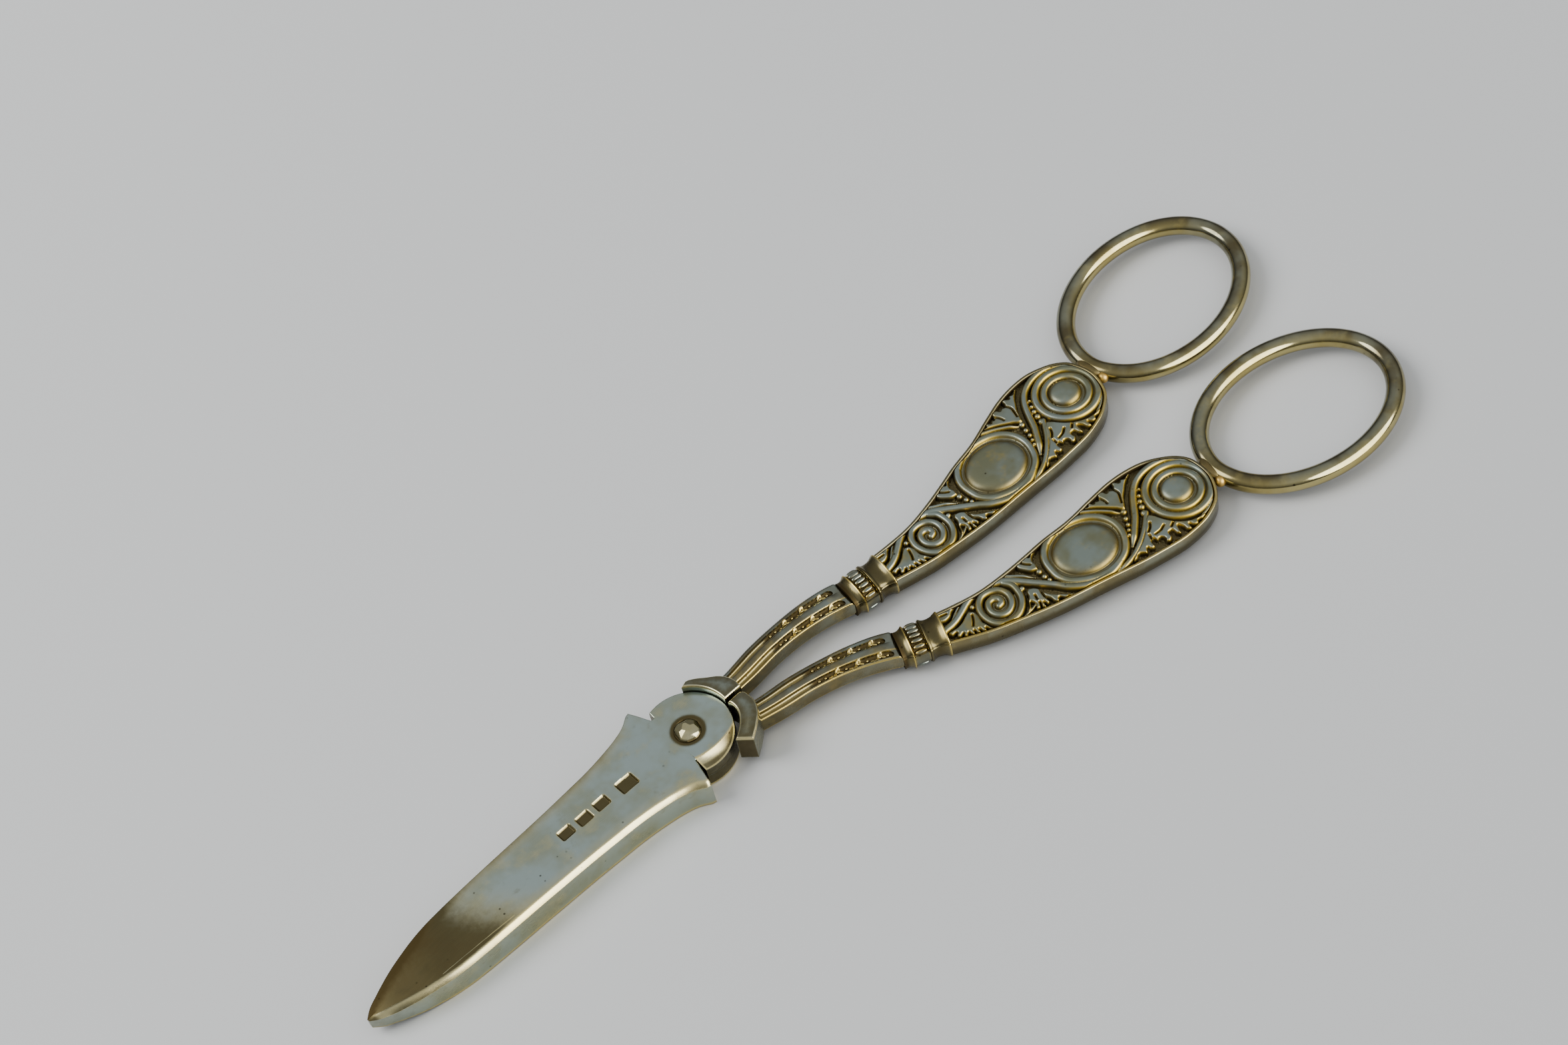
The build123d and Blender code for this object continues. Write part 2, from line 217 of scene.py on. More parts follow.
def aged_silver(name, slot, pale, shade, gold, gloss, grain):
    """Old silver with what is left of its gilding. Each layer covers the one below where its pattern rises
    from the low value to the high one: a second silver in clouds, a thin wash of gold, the gilding and
    painted gleams where the piece's gilt_and_gleam values say, stains, then the dirt, brown patina and
    painted shade of its dark values, and clustered pits. The grain is the depth of the scratches and pits, in
    millimetres."""
    material = bpy.data.materials.new(name)
    material.use_nodes = True
    material["slot"] = slot
    tree = material.node_tree
    tree.nodes.clear()
    place = add_node(tree, "ShaderNodeTexCoord").outputs["Object"]
    drawn_out = {"Vector": place, "Scale": (0.06, 1.0, 1.0), "Rotation": (0, 0, 0.35)}
    buffed = add_node(tree, "ShaderNodeMapping", drawn_out).outputs["Vector"]
    # Real buffing scratches are too fine to show, so these are drawn 0.22 mm apart.
    clouds, speckle, wash, stains, clusters, scratches = [
        add_node(
            tree, "ShaderNodeTexNoise",
            {"Vector": way, "Scale": 1000 / size_mm, "Detail": detail, "Roughness": 0.6},
        ).outputs["Fac"]
        for way, size_mm, detail in (
            (place, 7.0, 3.0), (place, 0.9, 3.0), (place, 3.4, 3.0), (place, 2.2, 5.0), (place, 5.0, 3.0),
            (buffed, 0.22, 2.0),
        )
    ]
    pit_spacing = 2.1
    pits = add_node(
        tree, "ShaderNodeTexVoronoi", {"Vector": place, "Scale": 1000 / pit_spacing}, feature="F1",
    ).outputs["Distance"]
    dark, gilt_and_gleam = [
        add_node(tree, "ShaderNodeAttribute", attribute_name=key).outputs["Fac"] for key in ("dark", "gilt_and_gleam")
    ]
    specks, clustered, haze, pit_rise = [
        add_node(
            tree, "ShaderNodeMapRange",
            {"Value": value, "From Min": low, "From Max": high, "To Max": most},
            interpolation_type="SMOOTHSTEP",
        ).outputs["Result"]
        for value, low, high, most in (
            (speckle, 0.3, 0.7, 0.06), (clusters, 0.45, 0.6, 0.8), (clouds, 0.3, 0.7, 0.1),
            (pits, 0.03, 0.12, 0.5),
        )
    ]
    soiled = add_node(
        tree, "ShaderNodeMath", {0: dark, 1: specks}, operation="ADD", use_clamp=True,
    ).outputs[0]
    colour = srgb(pale)
    for value, low, high, most, code in (
        (clouds, 0.36, 0.64, 1.0, shade), (wash, 0.52, 0.72, 0.22, gold), (speckle, -0.1, 0.45, gilt_and_gleam, gold),
        (stains, 0.6, 0.78, 0.35, "#6B6036"), (soiled, 0.05, 0.6, 1.0, "#5C5439"),
        (soiled, 0.55, 1.0, 1.0, "#453A22"), (pits, 0.11, 0.05, clustered, "#2A2113"),
    ):
        share = add_node(
            tree, "ShaderNodeMapRange",
            {"Value": value, "From Min": low, "From Max": high, "To Max": most},
            interpolation_type="SMOOTHSTEP",
        ).outputs["Result"]
        colour = add_node(
            tree, "ShaderNodeMix", {0: share, 6: colour, 7: srgb(code)}, data_type="RGBA",
        ).outputs[2]
    # Patina, haze and scratches each take some of the gloss.
    patina = add_node(
        tree, "ShaderNodeMapRange",
        {"Value": soiled, "From Min": 0.55, "From Max": 1.0, "To Max": 0.35},
        interpolation_type="SMOOTHSTEP",
    ).outputs["Result"]
    matt = add_node(
        tree, "ShaderNodeMath", {0: scratches, 1: 0.12, 2: gloss}, operation="MULTIPLY_ADD",
    ).outputs[0]
    for more in (haze, patina):
        matt = add_node(tree, "ShaderNodeMath", {0: matt, 1: more}, operation="ADD").outputs[0]
    height = add_node(
        tree, "ShaderNodeMath", {0: scratches, 1: 0.5, 2: pit_rise}, operation="MULTIPLY_ADD",
    ).outputs[0]
    surface = add_node(
        tree, "ShaderNodeBump", {"Height": height, "Strength": 1.0, "Distance": grain / 1000},
    ).outputs["Normal"]
    shader = add_node(
        tree, "ShaderNodeBsdfPrincipled",
        {"Base Color": colour, "Metallic": 1.0, "Roughness": matt, "Normal": surface},
    ).outputs["BSDF"]
    add_node(tree, "ShaderNodeOutputMaterial", {"Surface": shader})
    return material


# The blades are forged, filed and buffed, so they keep a soft gloss with fine draw-filed scratches.
# The pale silver's blue-green cast is a painted reflection of a blue surround.
blade_silver = aged_silver(
    "forged, buffed and gilt silver", "blade_silver", "#A1AEA8", "#949A87", "#D3C388", 0.13, 0.006,
)


def blade_edges(x):
    """Half widths at x to the left and the right: the blade's smooth line up to its horn, the straight
    shoulder down to the notch, then the joint disc's circle, less what wear took off the horn's point."""
    blade = smooth_value(blade_half_widths, x)
    circle = np.sqrt(np.maximum(disc_radius**2 - x**2, 0))
    edges = []
    for slope, notch_x, notch_half in (left_shoulder, right_shoulder):
        shoulder = np.maximum(horn_half - (x - horn_x) * slope, np.where(x > notch_x, circle, notch_half))
        edges.append(np.where(x < horn_x, blade, shoulder) - horn_worn * bell(x - horn_x, 0.4))
    return edges


def blade_stations(tip, crowd, spans):
    """Stations along a blade: crowded toward the tip as tip + length t^power, evenly down each span, and
    crowded again over the last millimetre of the disc as radius - t^2."""
    length, power, count = crowd
    parts = [tip + length * np.linspace(0, 1, count)[:-1] ** power]
    parts += [np.linspace(first, last, count)[:-1] for first, last, count in spans]
    return np.concatenate(parts + [disc_radius - np.linspace(1, 0, 26) ** 2])


def blade_plan(stations, left, right_edge, across):
    """Plan points over a blade, each station's middle plus its half width times the share across, and how
    far each lies inside the outline."""
    y = (left - right_edge)[:, None] / 2 + (left + right_edge)[:, None] / 2 * across
    plan = np.stack([np.broadcast_to(stations[:, None], y.shape), y], axis=-1)
    rim_line = np.concatenate([np.stack([stations, left], 1), np.stack([stations, -right_edge], 1)[::-1]])
    return plan, distance_to(plan, rim_line[::2])


# Upper blade: its top face falls to a bevel along the right edge.
wall_thick, least_thick, blade_keep = 1.6, 0.05, 3
bevel_wide, bevel_drop, bevel_power = 0.85, 0.75, 1.7
edge_round, bevel_round = 0.2, 0.05
stations = blade_stations(
    upper_tip, (1.5, 1.6, 24),
    [(-57.5, -24, 150), (-24, -9.5, 140), (-9.5, -3.75, 40), (-3.75, -1.3, 56), (-1.3, 5.6, 90)],
)
even = np.linspace(-1, 1, 124)
left, right_edge = blade_edges(stations)
plan, inside = blade_plan(stations, left, right_edge, np.sin(even * math.pi / 2) * 0.5 + even * 0.5)
x, y = plan[..., 0], plan[..., 1]
right_half = y < 0
from_right = distance_to(plan, np.stack([stations, -right_edge], 1)[stations < horn_x][::2])
bevel = bevel_drop * np.clip(1 - from_right / bevel_wide, 0, 1) ** bevel_power
bevel = bevel * soft_step(-59.5, -55, x) * right_half
edge_drop = rounded(inside, np.where(right_half & (x < horn_x), bevel_round, edge_round))
top = smooth_value(blade_top, x) - np.maximum(bevel, edge_drop)
# The disc is filed to a slightly hollowed-out crescent of a bevel on its right side.
facet_middle, facet_radius, facet_start = (1.2, 5.25), 10.0, -2.33
facet_top, facet_slope, facet_hollow, crease_soft = 5.03, 0.95, 0.2, 0.12
facet = np.hypot(x - facet_middle[0], y - facet_middle[1]) - facet_radius
faceted = (x > facet_start) & right_half
cut = (facet + np.hypot(facet, crease_soft)) / 2
top = np.where(faceted, np.minimum(top, facet_top - facet_slope * cut + facet_hollow * cut**2), top)
disc_crease = bell(facet, 0.13) * faceted
faceted = faceted * soft_step(-0.05, 0.1, facet)
# Four bare punch marks: the middle and the size share of each.
marks = [(-22.3, 0.6, 1.0), (-19.1, 0.4, 1.0), (-15.9, 0.4, 1.0), (-11.4, 0.1, 1.25)]
mark_long, mark_wide, mark_deep, mark_round, mark_slope = 1.2, 0.95, 0.32, 0.35, 0.24
mark_depth, mark_edge = np.zeros_like(x), np.zeros_like(x)
for mark_x, mark_y, grow in marks:
    past = np.stack([np.abs(x - mark_x) - mark_long * grow, np.abs(y - mark_y) - mark_wide * grow])
    past = past + mark_round
    corner = np.hypot(*np.maximum(past, 0)) + np.minimum(past.max(axis=0), 0) - mark_round
    mark_depth = np.maximum(mark_depth, mark_deep * np.clip(-corner / mark_slope, 0, 1))
    mark_edge = np.maximum(mark_edge, bell(corner + mark_slope / 2, 0.15))
top -= mark_depth
wall_inner = smooth_value(blade_half_widths, np.minimum(x, horn_x)) - wall_thick
in_wall = (y < -wall_inner) & (np.hypot(x, y) > disc_radius + 0.2) & (x < -2.3)
under = np.where(in_wall, smooth_value(blade_under, x), parting + gap)
under = np.minimum(under, top - least_thick)
# Tarnish gathers along the left edge, round the rivet and in the marks. The darkening toward the tip is
# partly tarnish and partly a painted reflection of dark surroundings.
left_edge = np.where(y > 0, bell(inside, 1.1), 0) * soft_step(-2, -12, x)
bevelled = soft_step(1.0, 0.6, from_right) * right_half
scratch = bell(distance_to(plan, np.array([(-47.9, -3.1), (-35.7, -3.85)])), 0.05)
disc_rim = soft_step(0.3, 0.1, inside) * faceted
towards_tip = soft_step(-34, -49, x + 0.75 * y - 3.2) ** 1.5
rivet_ring = bell(np.hypot(x - 0.1, y) - 2.2, 0.45)
punched = mark_depth / mark_deep
# The facet is darker toward its right end and its outer edge: partly dirt, partly painted shade.
facet_dirt_and_shade = np.maximum(0.2 + 0.42 * soft_step(0.5, 3.5, x), 0.45 * soft_step(0.7, 1.3, facet))
dark = 0.68 * towards_tip + 0.16 * towards_tip * soft_step(-1, 4, y) + 0.3 * left_edge + 0.75 * rivet_ring
dark = dark + 0.62 * punched**4 + 0.3 * mark_edge
# The bevel is kept clean and gilt: partly filed bright, partly a painted gold tint on its highlight.
dark = dark * (1 - 0.7 * bevelled) * (1 - 0.8 * scratch) + 0.4 * soft_step(-57.3, -58.6, x)
dark = np.clip(dark + faceted * facet_dirt_and_shade * (1 - disc_rim), 0, 1)
gilt_and_gleam = 0.5 * left_edge + 0.6 * bevelled + mark_edge + 0.4 * punched + 1.6 * towards_tip * (1 - towards_tip)
gilt_and_gleam = np.clip(gilt_and_gleam + 0.8 * disc_crease + 0.6 * scratch, 0, 1)
gilt_and_gleam = np.clip(gilt_and_gleam + 0.75 * faceted + disc_rim + 0.2 * soft_step(2.4, 1.0, from_right), 0, 1)
# The walls are painted darker by the disc, as shade in the gap beside the other half's guard, and toward the
# tip.
side = 0.02 + 0.45 * soft_step(horn_x, -2.4, stations) + 0.25 * soft_step(-48, -58, stations)
wear_and_light = {
    "dark": both_faces(dark, 0.3, side, keep=blade_keep),
    "gilt_and_gleam": both_faces(gilt_and_gleam, np.where(inside < 0.12, 1.0, 0.2), 0.12, 0.9, keep=blade_keep),
}
rings = plate_rings(plan, top, under, blade_keep)
upper_blade = make_skin("upper_blade_plate", rings, "upper", blade_silver, wear_and_light)
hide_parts("upper_blade")

# Lower blade: it lies inside the wall, and a shallow countersink below holds the rivet's tail.
wall_clear, left_inset, sink_deep, heel_x, heel_half, heel_slope = 0.1, 0.06, 0.3, -2.4, 7.3, 2.2
stations = blade_stations(
    lower_tip, (2.0, 1.5, 16), [(-55.9, -3.75, 200), (-3.75, -1.3, 40), (-1.3, 5.6, 40)],
)
left, right_edge = blade_edges(stations)
heel = np.where(stations < heel_x, heel_half - (stations - horn_x) * heel_slope, np.inf)
along_wall = right_edge - (wall_thick + wall_clear)
right_edge = np.where(stations < horn_x, along_wall, np.minimum(right_edge, heel))
across = np.sin(np.linspace(-1, 1, 40) * math.pi / 2)
plan, inside = blade_plan(stations, left - left_inset, right_edge, across)
x, y = plan[..., 0], plan[..., 1]
top = np.full_like(x, parting - gap)
sink = sink_deep * soft_step(2.4, 2.1, np.hypot(x, y))
under = np.minimum(smooth_value(blade_under, x) + rounded(inside, edge_round) + sink, top - 2 * least_thick)
wear_and_light = {
    "dark": both_faces(np.full_like(x, 0.3), 0.55 * soft_step(-40, -58, x), 0.5, 0.05),
    "gilt_and_gleam": both_faces(np.zeros_like(x), bell(inside, 0.3), 0.1, 1.0),
}
lower_blade = make_skin("lower_blade_plate", plate_rings(plan, top, under), "lower", blade_silver, wear_and_light)
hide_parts("lower_blade")


# Guards
# Each blade's forging swells into a stepped guard that stands beside the other half's disc and stops it.
# The filed edges of its top have caught the gilding and shine.
guard_low, guard_high, guard_round, guard_foot_round, end_worn = 1.2, 6.4, 0.34, 0.3, 0.14


def smooth_line(points, count):
    """Points of a smooth line through given ones, spaced by the distance run: each coordinate is a
    smooth_value of the length of the straight line through them."""
    p = np.array(points, float)
    run = np.concatenate([[0], np.cumsum(np.linalg.norm(np.diff(p, axis=0), axis=1))])
    s = np.linspace(0, run[-1], count)
    return np.stack([smooth_value(list(zip(run, p[:, k])), s) for k in range(p.shape[1])], axis=1)


def ruled_plan(inner, outer, along_count, across_count):
    """Plan points between two smooth lines: each row runs straight from a point of the inner line to the one
    at the same share of the outer."""
    a, b = smooth_line(inner, along_count), smooth_line(outer, along_count)
    share = (1 - np.cos(np.linspace(0, math.pi, across_count))) / 2
    share = 0.5 * share + 0.5 * np.linspace(0, 1, across_count)
    return a[:, None] + (b - a)[:, None] * share[None, :, None]


def arc_points(radius, first, last, count):
    """Points of an arc about the pivot, from the first angle to the last, in degrees."""
    angles = np.radians(np.linspace(first, last, count))
    return np.stack([radius * np.cos(angles), radius * np.sin(angles)], axis=1)


guards = {
    "upper": (
        arc_points(6.66, 53.5, -7.7, 9),
        [
            (4.95, 5.7), (5.35, 5.6), (5.9, 5.28), (7.5, 3.9), (8.9, 2.6), (9.55, 1.45), (9.8, 0.5),
            (9.66, -0.9),
        ],
    ),
    "lower": (
        [(6.62, -1.55), (6.75, -2.0), (6.72, -3.0), (6.2, -4.3), (5.35, -5.35), (4.2, -6.3), (3.15, -6.92)],
        [(8.75, -1.5), (9.25, -1.9), (9.42, -3.0), (9.3, -4.3), (8.4, -5.98), (6.8, -7.42), (4.85, -8.78)],
    ),
}
for half, (inner, outer) in guards.items():
    plan = ruled_plan(inner, outer, 130, 42)
    rim_line = np.concatenate([plan[:, 0], plan[-1], plan[::-1, -1], plan[0, ::-1]])
    inside = distance_to(plan, rim_line[::2])
    top = guard_high - rounded(inside, guard_round) - 0.1 * soft_step(1.5, 0.2, inside)
    under = guard_low + rounded(inside, guard_foot_round)
    bright = soft_step(0.3, 0.12, inside)
    dirt = 0.33 + 0.14 * soft_step(1.6, 0.3, inside)
    rings = plate_rings(plan, top, under)
    wear_and_light = {"dark": both_faces(dirt * (1 - bright), 0.4, 0.28), "gilt_and_gleam": both_faces(0.8 * bright, 0.1, 0.1)}
    # The two end faces are painted dark as shade, inside their bright edges.
    ends = rings[[0, -1]]
    ends = ends + (ends.mean(axis=1, keepdims=True) - ends) * end_worn
    rings = np.concatenate([ends[:1], rings, ends[1:]])
    for key, end_value in (("dark", 0.7), ("gilt_and_gleam", 0)):
        wear_and_light[key] = np.pad(wear_and_light[key], ((1, 1), (0, 0)), constant_values=end_value)
    make_skin(half + "_guard", rings, half, blade_silver, wear_and_light, sharp=24)


# Rivet
# A silver pin through both discs. Its tail is spread flat in the lower one's countersink, which fixes it,
# and its head is hammered to a faceted dome above.
head_radius, head_height, head_foot, pin_radius = 2.0, 0.95, 5.05, 1.3
tail = [(0.02, 0.0), (0.8, 0.0), (1.5, 0.0), (2.0, 0.0), (2.1, 0.03), (1.75, 0.45)]
pin = tail + [
    (pin_radius, 0.9), (pin_radius, 2.0), (pin_radius, 5.02), (1.9, 5.03), (head_radius, head_foot + 0.05),
]
dome_radius = (head_radius**2 + head_height**2) / (2 * head_height)
dome_middle = head_foot + head_height - dome_radius
reach = head_radius * np.linspace(1, 0, 34)[:-1]
head = list(zip(reach, dome_middle + np.sqrt(dome_radius**2 - reach**2)))
profile = np.array(pin + head + [(0.01, head_foot + head_height)])
angle = np.linspace(0, 2 * math.pi, 97)[:-1]
rings = np.stack([
    profile[:, 0, None] * np.cos(angle), profile[:, 0, None] * np.sin(angle),
    np.broadcast_to(profile[:, 1, None], (len(profile), len(angle))),
], axis=-1)
# Each hammer blow flattens the dome where it stands out past a plane that leans from upright.
rng = np.random.default_rng(7)
dome, blows = rings[len(pin) + 1 :], 13
for blow in range(blows):
    lean, way = 0.06, 2.0
    if blow:
        lean = 0.36 + 0.36 * (blow % 2) + 0.08 * rng.random()
        way = blow * 2.4 + rng.random() * 0.5
    flat = np.array([math.sin(lean) * math.cos(way), math.sin(lean) * math.sin(way), math.cos(lean)])
    past = (dome - np.array([0, 0, dome_middle])) @ flat - dome_radius * (0.968 - 0.016 * rng.random())
    dome[..., 2] -= np.maximum(past, 0) / flat[2]
foot = bell(rings[..., 2] - head_foot, 0.2)
# The head is bright from the hammer, with dirt round its foot.
rivet_silver = aged_silver(
    "hammered silver rivet", "rivet_silver", "#A7AA98", "#8C8A6E", "#CDB870", 0.07, 0.004,
)
wear_and_light = {"dark": 0.08 + 0.8 * foot, "gilt_and_gleam": 0.35}
rivet = make_skin("rivet", rings, "lower", rivet_silver, wear_and_light, sharp=7)
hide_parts("pivot_rivet")


# Shanks
# Each half's forging runs on as a fluted shank: a wide convex rib between two hollows, a thin bright rim
# on the inner side, and a chased run of buds and dots laid in the outer half of each hollow.
shank_mid, shank_side = 2.75, 1.35
shank_outer = [(7.0, 3.8), (10.1, 3.9), (15.5, 4.6), (20.9, 4.75), (25.8, 4.5), (30.0, 3.75), (32.0, 3.1)]
shank_inner = [
    (7.0, 0.0), (10.2, 0.0), (12.5, 0.05), (18.1, 0.45), (23.0, 0.2), (27.5, -0.7), (30.5, -1.65),
    (32.0, -2.3),
]
shank_from, shank_to, shank_keep = 9.0, 31.6, 2
lower_turn, lower_shift = math.radians(-15.59), np.array([-0.42, -3.69, 0.0])


def lie(points, half):
    """Points of one half where it lies: the lower half's are turned 15.59 degrees clockwise about the pivot
    and moved."""
    if half == "upper":
        return points
    c, s = math.cos(lower_turn), math.sin(lower_turn)
    x, y, z = points[..., 0], points[..., 1], points[..., 2]
    return np.stack([x * c - y * s, x * s + y * c, z], axis=-1) + lower_shift


# The two hollows and the rib: each one's middle and half width, as shares across the shank.
hollow_shares, rib_share = [(0.185, 0.115), (0.69, 0.105)], (0.44, 0.145)
hollow_end, hollow_end_long, hollow_deep, rib_high = 29.5, 0.55, 0.5, 0.28
chase_wide, chase_high = 0.2, 0.36
outer_round, inner_round, end_round = 0.75, 0.16, 0.6
end_x, end_lean = 31.15, 0.15
# One chased bud, as strokes about its middle: the tail, the curl and the foot. Dots stand between the buds.
bud = [
    [(-1.2, -0.36), (-0.8, -0.14), (-0.5, -0.36), (-0.3, -0.1)],
    [(-0.3, -0.36), (-0.05, 0.14), (0.25, 0.38), (0.55, 0.24), (0.48, 0.0), (0.15, -0.05)],
    [(0.35, -0.05), (0.8, -0.36)],
]
dot = [[(-0.05, 0.0), (0.05, 0.0)]]
chasing = [
    (19.0, dot), (20.0, dot), (21.7, bud), (23.2, dot), (24.8, bud), (26.3, dot), (27.9, bud), (29.2, dot),
]
x = np.linspace(shank_from, shank_to, 520)[:, None]
share = np.linspace(0, 1, 112)
inner_y, outer_y = smooth_value(shank_inner, x), smooth_value(shank_outer, x)
y = inner_y + (outer_y - inner_y) * share
plan = np.stack([np.broadcast_to(x, y.shape), y], axis=-1)
lift, hollow, chase = np.zeros_like(y), np.zeros_like(y), np.zeros_like(y)
narrowing = np.sqrt(np.maximum(1 - (np.maximum(x - hollow_end, 0) / hollow_end_long) ** 2, 0))
for middle, half_share in hollow_shares:
    off = np.abs(share - middle) / half_share
    cut = np.sqrt(np.maximum(1 - (off / np.maximum(narrowing, 1e-3)) ** 2, 0)) * (narrowing > 0.02)
    lift -= hollow_deep * cut
    hollow = np.maximum(hollow, cut)
    for start, strokes in chasing:
        foot_y = smooth_value(shank_inner, start) * (1 - middle) + smooth_value(shank_outer, start) * middle
        for stroke in strokes:
            line = np.array(stroke) + np.array([start, float(foot_y)])
            chase = np.maximum(chase, bell(distance_to(plan, line), chase_wide, 4) * (cut > 0))
rib = np.sqrt(np.maximum(1 - ((share - rib_share[0]) / rib_share[1]) ** 2, 0)) * soft_step(31.0, 29.0, x)
lift += chase_high * chase + rib_high * rib
outer_drop, inner_drop = rounded(outer_y - y, outer_round), rounded(y - inner_y, inner_round)
end_drop = rounded(end_x + end_lean * (y - 0.45) - x, end_round)
face = shank_side + lift - outer_drop - inner_drop - end_drop
rings = plate_rings(plan, shank_mid + face, shank_mid - face, shank_keep)
# Patina fills the chased part of the hollows, and the rims and the buds' backs are rubbed to the gilding.
chased = soft_step(17.2, 18.4, x)
dark = np.clip(soft_step(0.0, 0.6, hollow) * (0.28 + 0.6 * chased) - 1.2 * chase, 0, 1)
dark = dark + 0.35 * soft_step(0.3, 0.55, end_drop)
rim = bell(y - inner_y, 0.2) + 0.7 * bell(share - 0.31, 0.02)
gilt_and_gleam = np.clip(rim + 0.75 * chase + 0.5 * hollow * (1 - chased), 0, 1)
wear_and_light = {
    "dark": both_faces(dark, dark, 0.2, keep=shank_keep),
    "gilt_and_gleam": both_faces(gilt_and_gleam, gilt_and_gleam, 0.1, keep=shank_keep),
}
# The shanks, collars and frames are one worn and handled silver, with patina left in the hollows.
handle_silver = aged_silver(
    "chased and handled silver", "handle_silver", "#81887E", "#68634E", "#C9B060", 0.15, 0.005,
)
for half in ("upper", "lower"):
    shank = make_skin(half + "_fluted_shank", lie(rings, half), half, handle_silver, wear_and_light, sharp=40)
    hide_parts(half + "_shank")


# Collars
# Three turned and chased rings hide the joint of shank and handle: a flared neck with a sharp edge, a band of
# seven rounded lobes, and a waisted ferrule that ends in a sharp corner. The bright bands at their edges are
# painted gleams, and the neck's hollow and the ferrule's waist are painted darker as shade.
mid_height = 2.5
collar_turn, collar_start = math.radians(-8.5), np.array([31.1, 0.45, mid_height])
collar_half, collar_side, collar_rise = 3.25, 1.35, 1.1
neck_long, band_long, ferrule_long = 1.6, 2.3, 3.05
lobes, side_rows = 7, 9


def collar_section(count):
    """One turn round a collar of unit swell: over the arch of the top, down one side, back under and up the
    other side, as (across, up) points with their share of the arch, which is 2 on the sides."""
    arch_radius = (collar_half**2 + collar_rise**2) / (2 * collar_rise)
    reach = math.asin(collar_half / arch_radius)
    a = np.linspace(-reach, reach, count)
    arch_up = collar_side + collar_rise - arch_radius + arch_radius * np.cos(a)
    arch = np.stack([arch_radius * np.sin(a), arch_up], axis=1)
    rows = np.linspace(collar_side, -collar_side, side_rows + 2)[1:-1]
    side = np.stack([np.full(side_rows, collar_half), rows], axis=1)
    ring = np.concatenate([arch, side, -arch, -side])
    from_corner = np.abs(ring) - np.array([collar_half, collar_side])
    near_corner = np.exp(-((from_corner / 0.5) ** 2).sum(axis=1))
    ring = ring * (1 - 0.07 * near_corner[:, None])
    over = np.concatenate([a / reach, np.full(side_rows, 2.0), a / reach, np.full(side_rows, 2.0)])
    return ring, over


def collar_rings(swell, start, length, section):
    """Rings along the collars' axis: the unit section times the swell at each share of the length."""
    along = np.array([math.cos(collar_turn), math.sin(collar_turn), 0])
    across_way = np.array([-along[1], along[0], 0])
    share = np.linspace(0, 1, len(swell))[:, None, None]
    flat = section[None] * swell[..., None]
    axis = collar_start + along * (start + length * share)
    return axis + across_way * flat[..., :1] + np.array([0, 0, 1.0]) * flat[..., 1:]


section, over = collar_section(150)
share = np.linspace(0, 1, 60)[:, None]
neck = smooth_value(
    [(0, 0.87), (0.18, 0.845), (0.4, 0.85), (0.7, 0.91), (0.9, 0.985), (0.96, 1.0), (1.0, 0.97)], share,
)
waist = smooth_value(
    [
        (0, 0.93), (0.035, 0.985), (0.1, 0.98), (0.18, 0.93), (0.45, 0.885), (0.7, 0.93), (0.9, 1.03),
        (0.96, 1.055), (1.0, 1.03),
    ],
    share,
)
from_lobe = np.abs((over * lobes / 2 + 0.5) % 1 - 0.5) / 0.4
on_arch = np.abs(over) <= 1
from_middle = np.abs(share - 0.5) / 0.4
lobe = np.maximum(1 - from_lobe**2 - from_middle**2.6, 0) ** 0.4
edge_rings = bell(np.abs(share - 0.5) - 0.465, 0.035)
band = 0.82 + np.where(on_arch, 0.16 * lobe + 0.13 * edge_rings, 0.09)
# The lit side of each collar faces the edge lamp, and its gold there is a painted gleam.
lit_side = soft_step(0.5, -0.9, over) * on_arch
# Each collar's swell, start, length, dark values and gilding values. Patina lies between the lobes; the
# darkness of the neck's hollow and of the ferrule's waist is painted shade, and the bright bands at their
# edges and the gold of the lit side are painted gleams.
collars = {
    "neck_ring": (
        neck, 0.0, neck_long,
        0.45 + 0.5 * soft_step(0.55, 0.15, share) - 0.45 * bell(share - 0.94, 0.06),
        0.5 + bell(share - 0.94, 0.07),
    ),
    "gadroon_band": (
        band, neck_long, band_long,
        np.where(on_arch, 0.97 * soft_step(0.55, 0.2, lobe) * (1 - edge_rings), 0.3),
        0.75 * soft_step(0.98, 0.75, lobe) * lit_side + 0.6 * edge_rings,
    ),
    "ferrule": (
        waist, neck_long + band_long, ferrule_long,
        0.3 + 0.42 * bell(share - 0.42, 0.36) * (1 - 0.5 * lit_side) + 0.5 * bell(share, 0.03)
        - 0.4 * bell(share - 0.96, 0.05),
        0.2 + 0.45 * lit_side + 0.6 * bell(share - 0.05, 0.05) + 0.7 * bell(share - 0.96, 0.05),
    ),
}
for half in ("upper", "lower"):
    for name, (swell, start, length, dark, gilt_and_gleam) in collars.items():
        rings = lie(collar_rings(swell, start, length, section), half)
        wear_and_light = {"dark": np.clip(dark, 0, 1), "gilt_and_gleam": np.clip(gilt_and_gleam, 0, 1)}
        collar = make_skin(half + "_" + name + "_skin", rings, half, handle_silver, wear_and_light, sharp=40)
        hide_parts(half + "_" + name)


# Handle frames
# Each handle is a cast frame with plain filed walls and a thin rim that stands a little above the field.
# The rim is where hands rub, so its edge is bright, and more so on the low side as a painted highlight.
# The lower half of the wall and the rim of the high side are painted darker as shade.
rim_width = 0.5
handle_outline = [
    (37.6, 2.33), (41.0, 2.12), (45.0, 2.1), (50.0, 2.9), (53.5, 3.75), (57.0, 4.7), (62.0, 5.7),
    (67.0, 7.3), (70.5, 8.3), (73.5, 8.7), (77.0, 8.5), (79.0, 7.85), (81.0, 6.8), (82.4, 5.4),
    (83.15, 3.4), (83.4, 1.1), (83.0, -0.8), (82.0, -2.9), (79.5, -5.0), (75.5, -6.4), (69.6, -6.85),
    (61.0, -6.6), (53.0, -6.3), (48.4, -5.8), (44.0, -5.2), (37.6, -3.6),
]
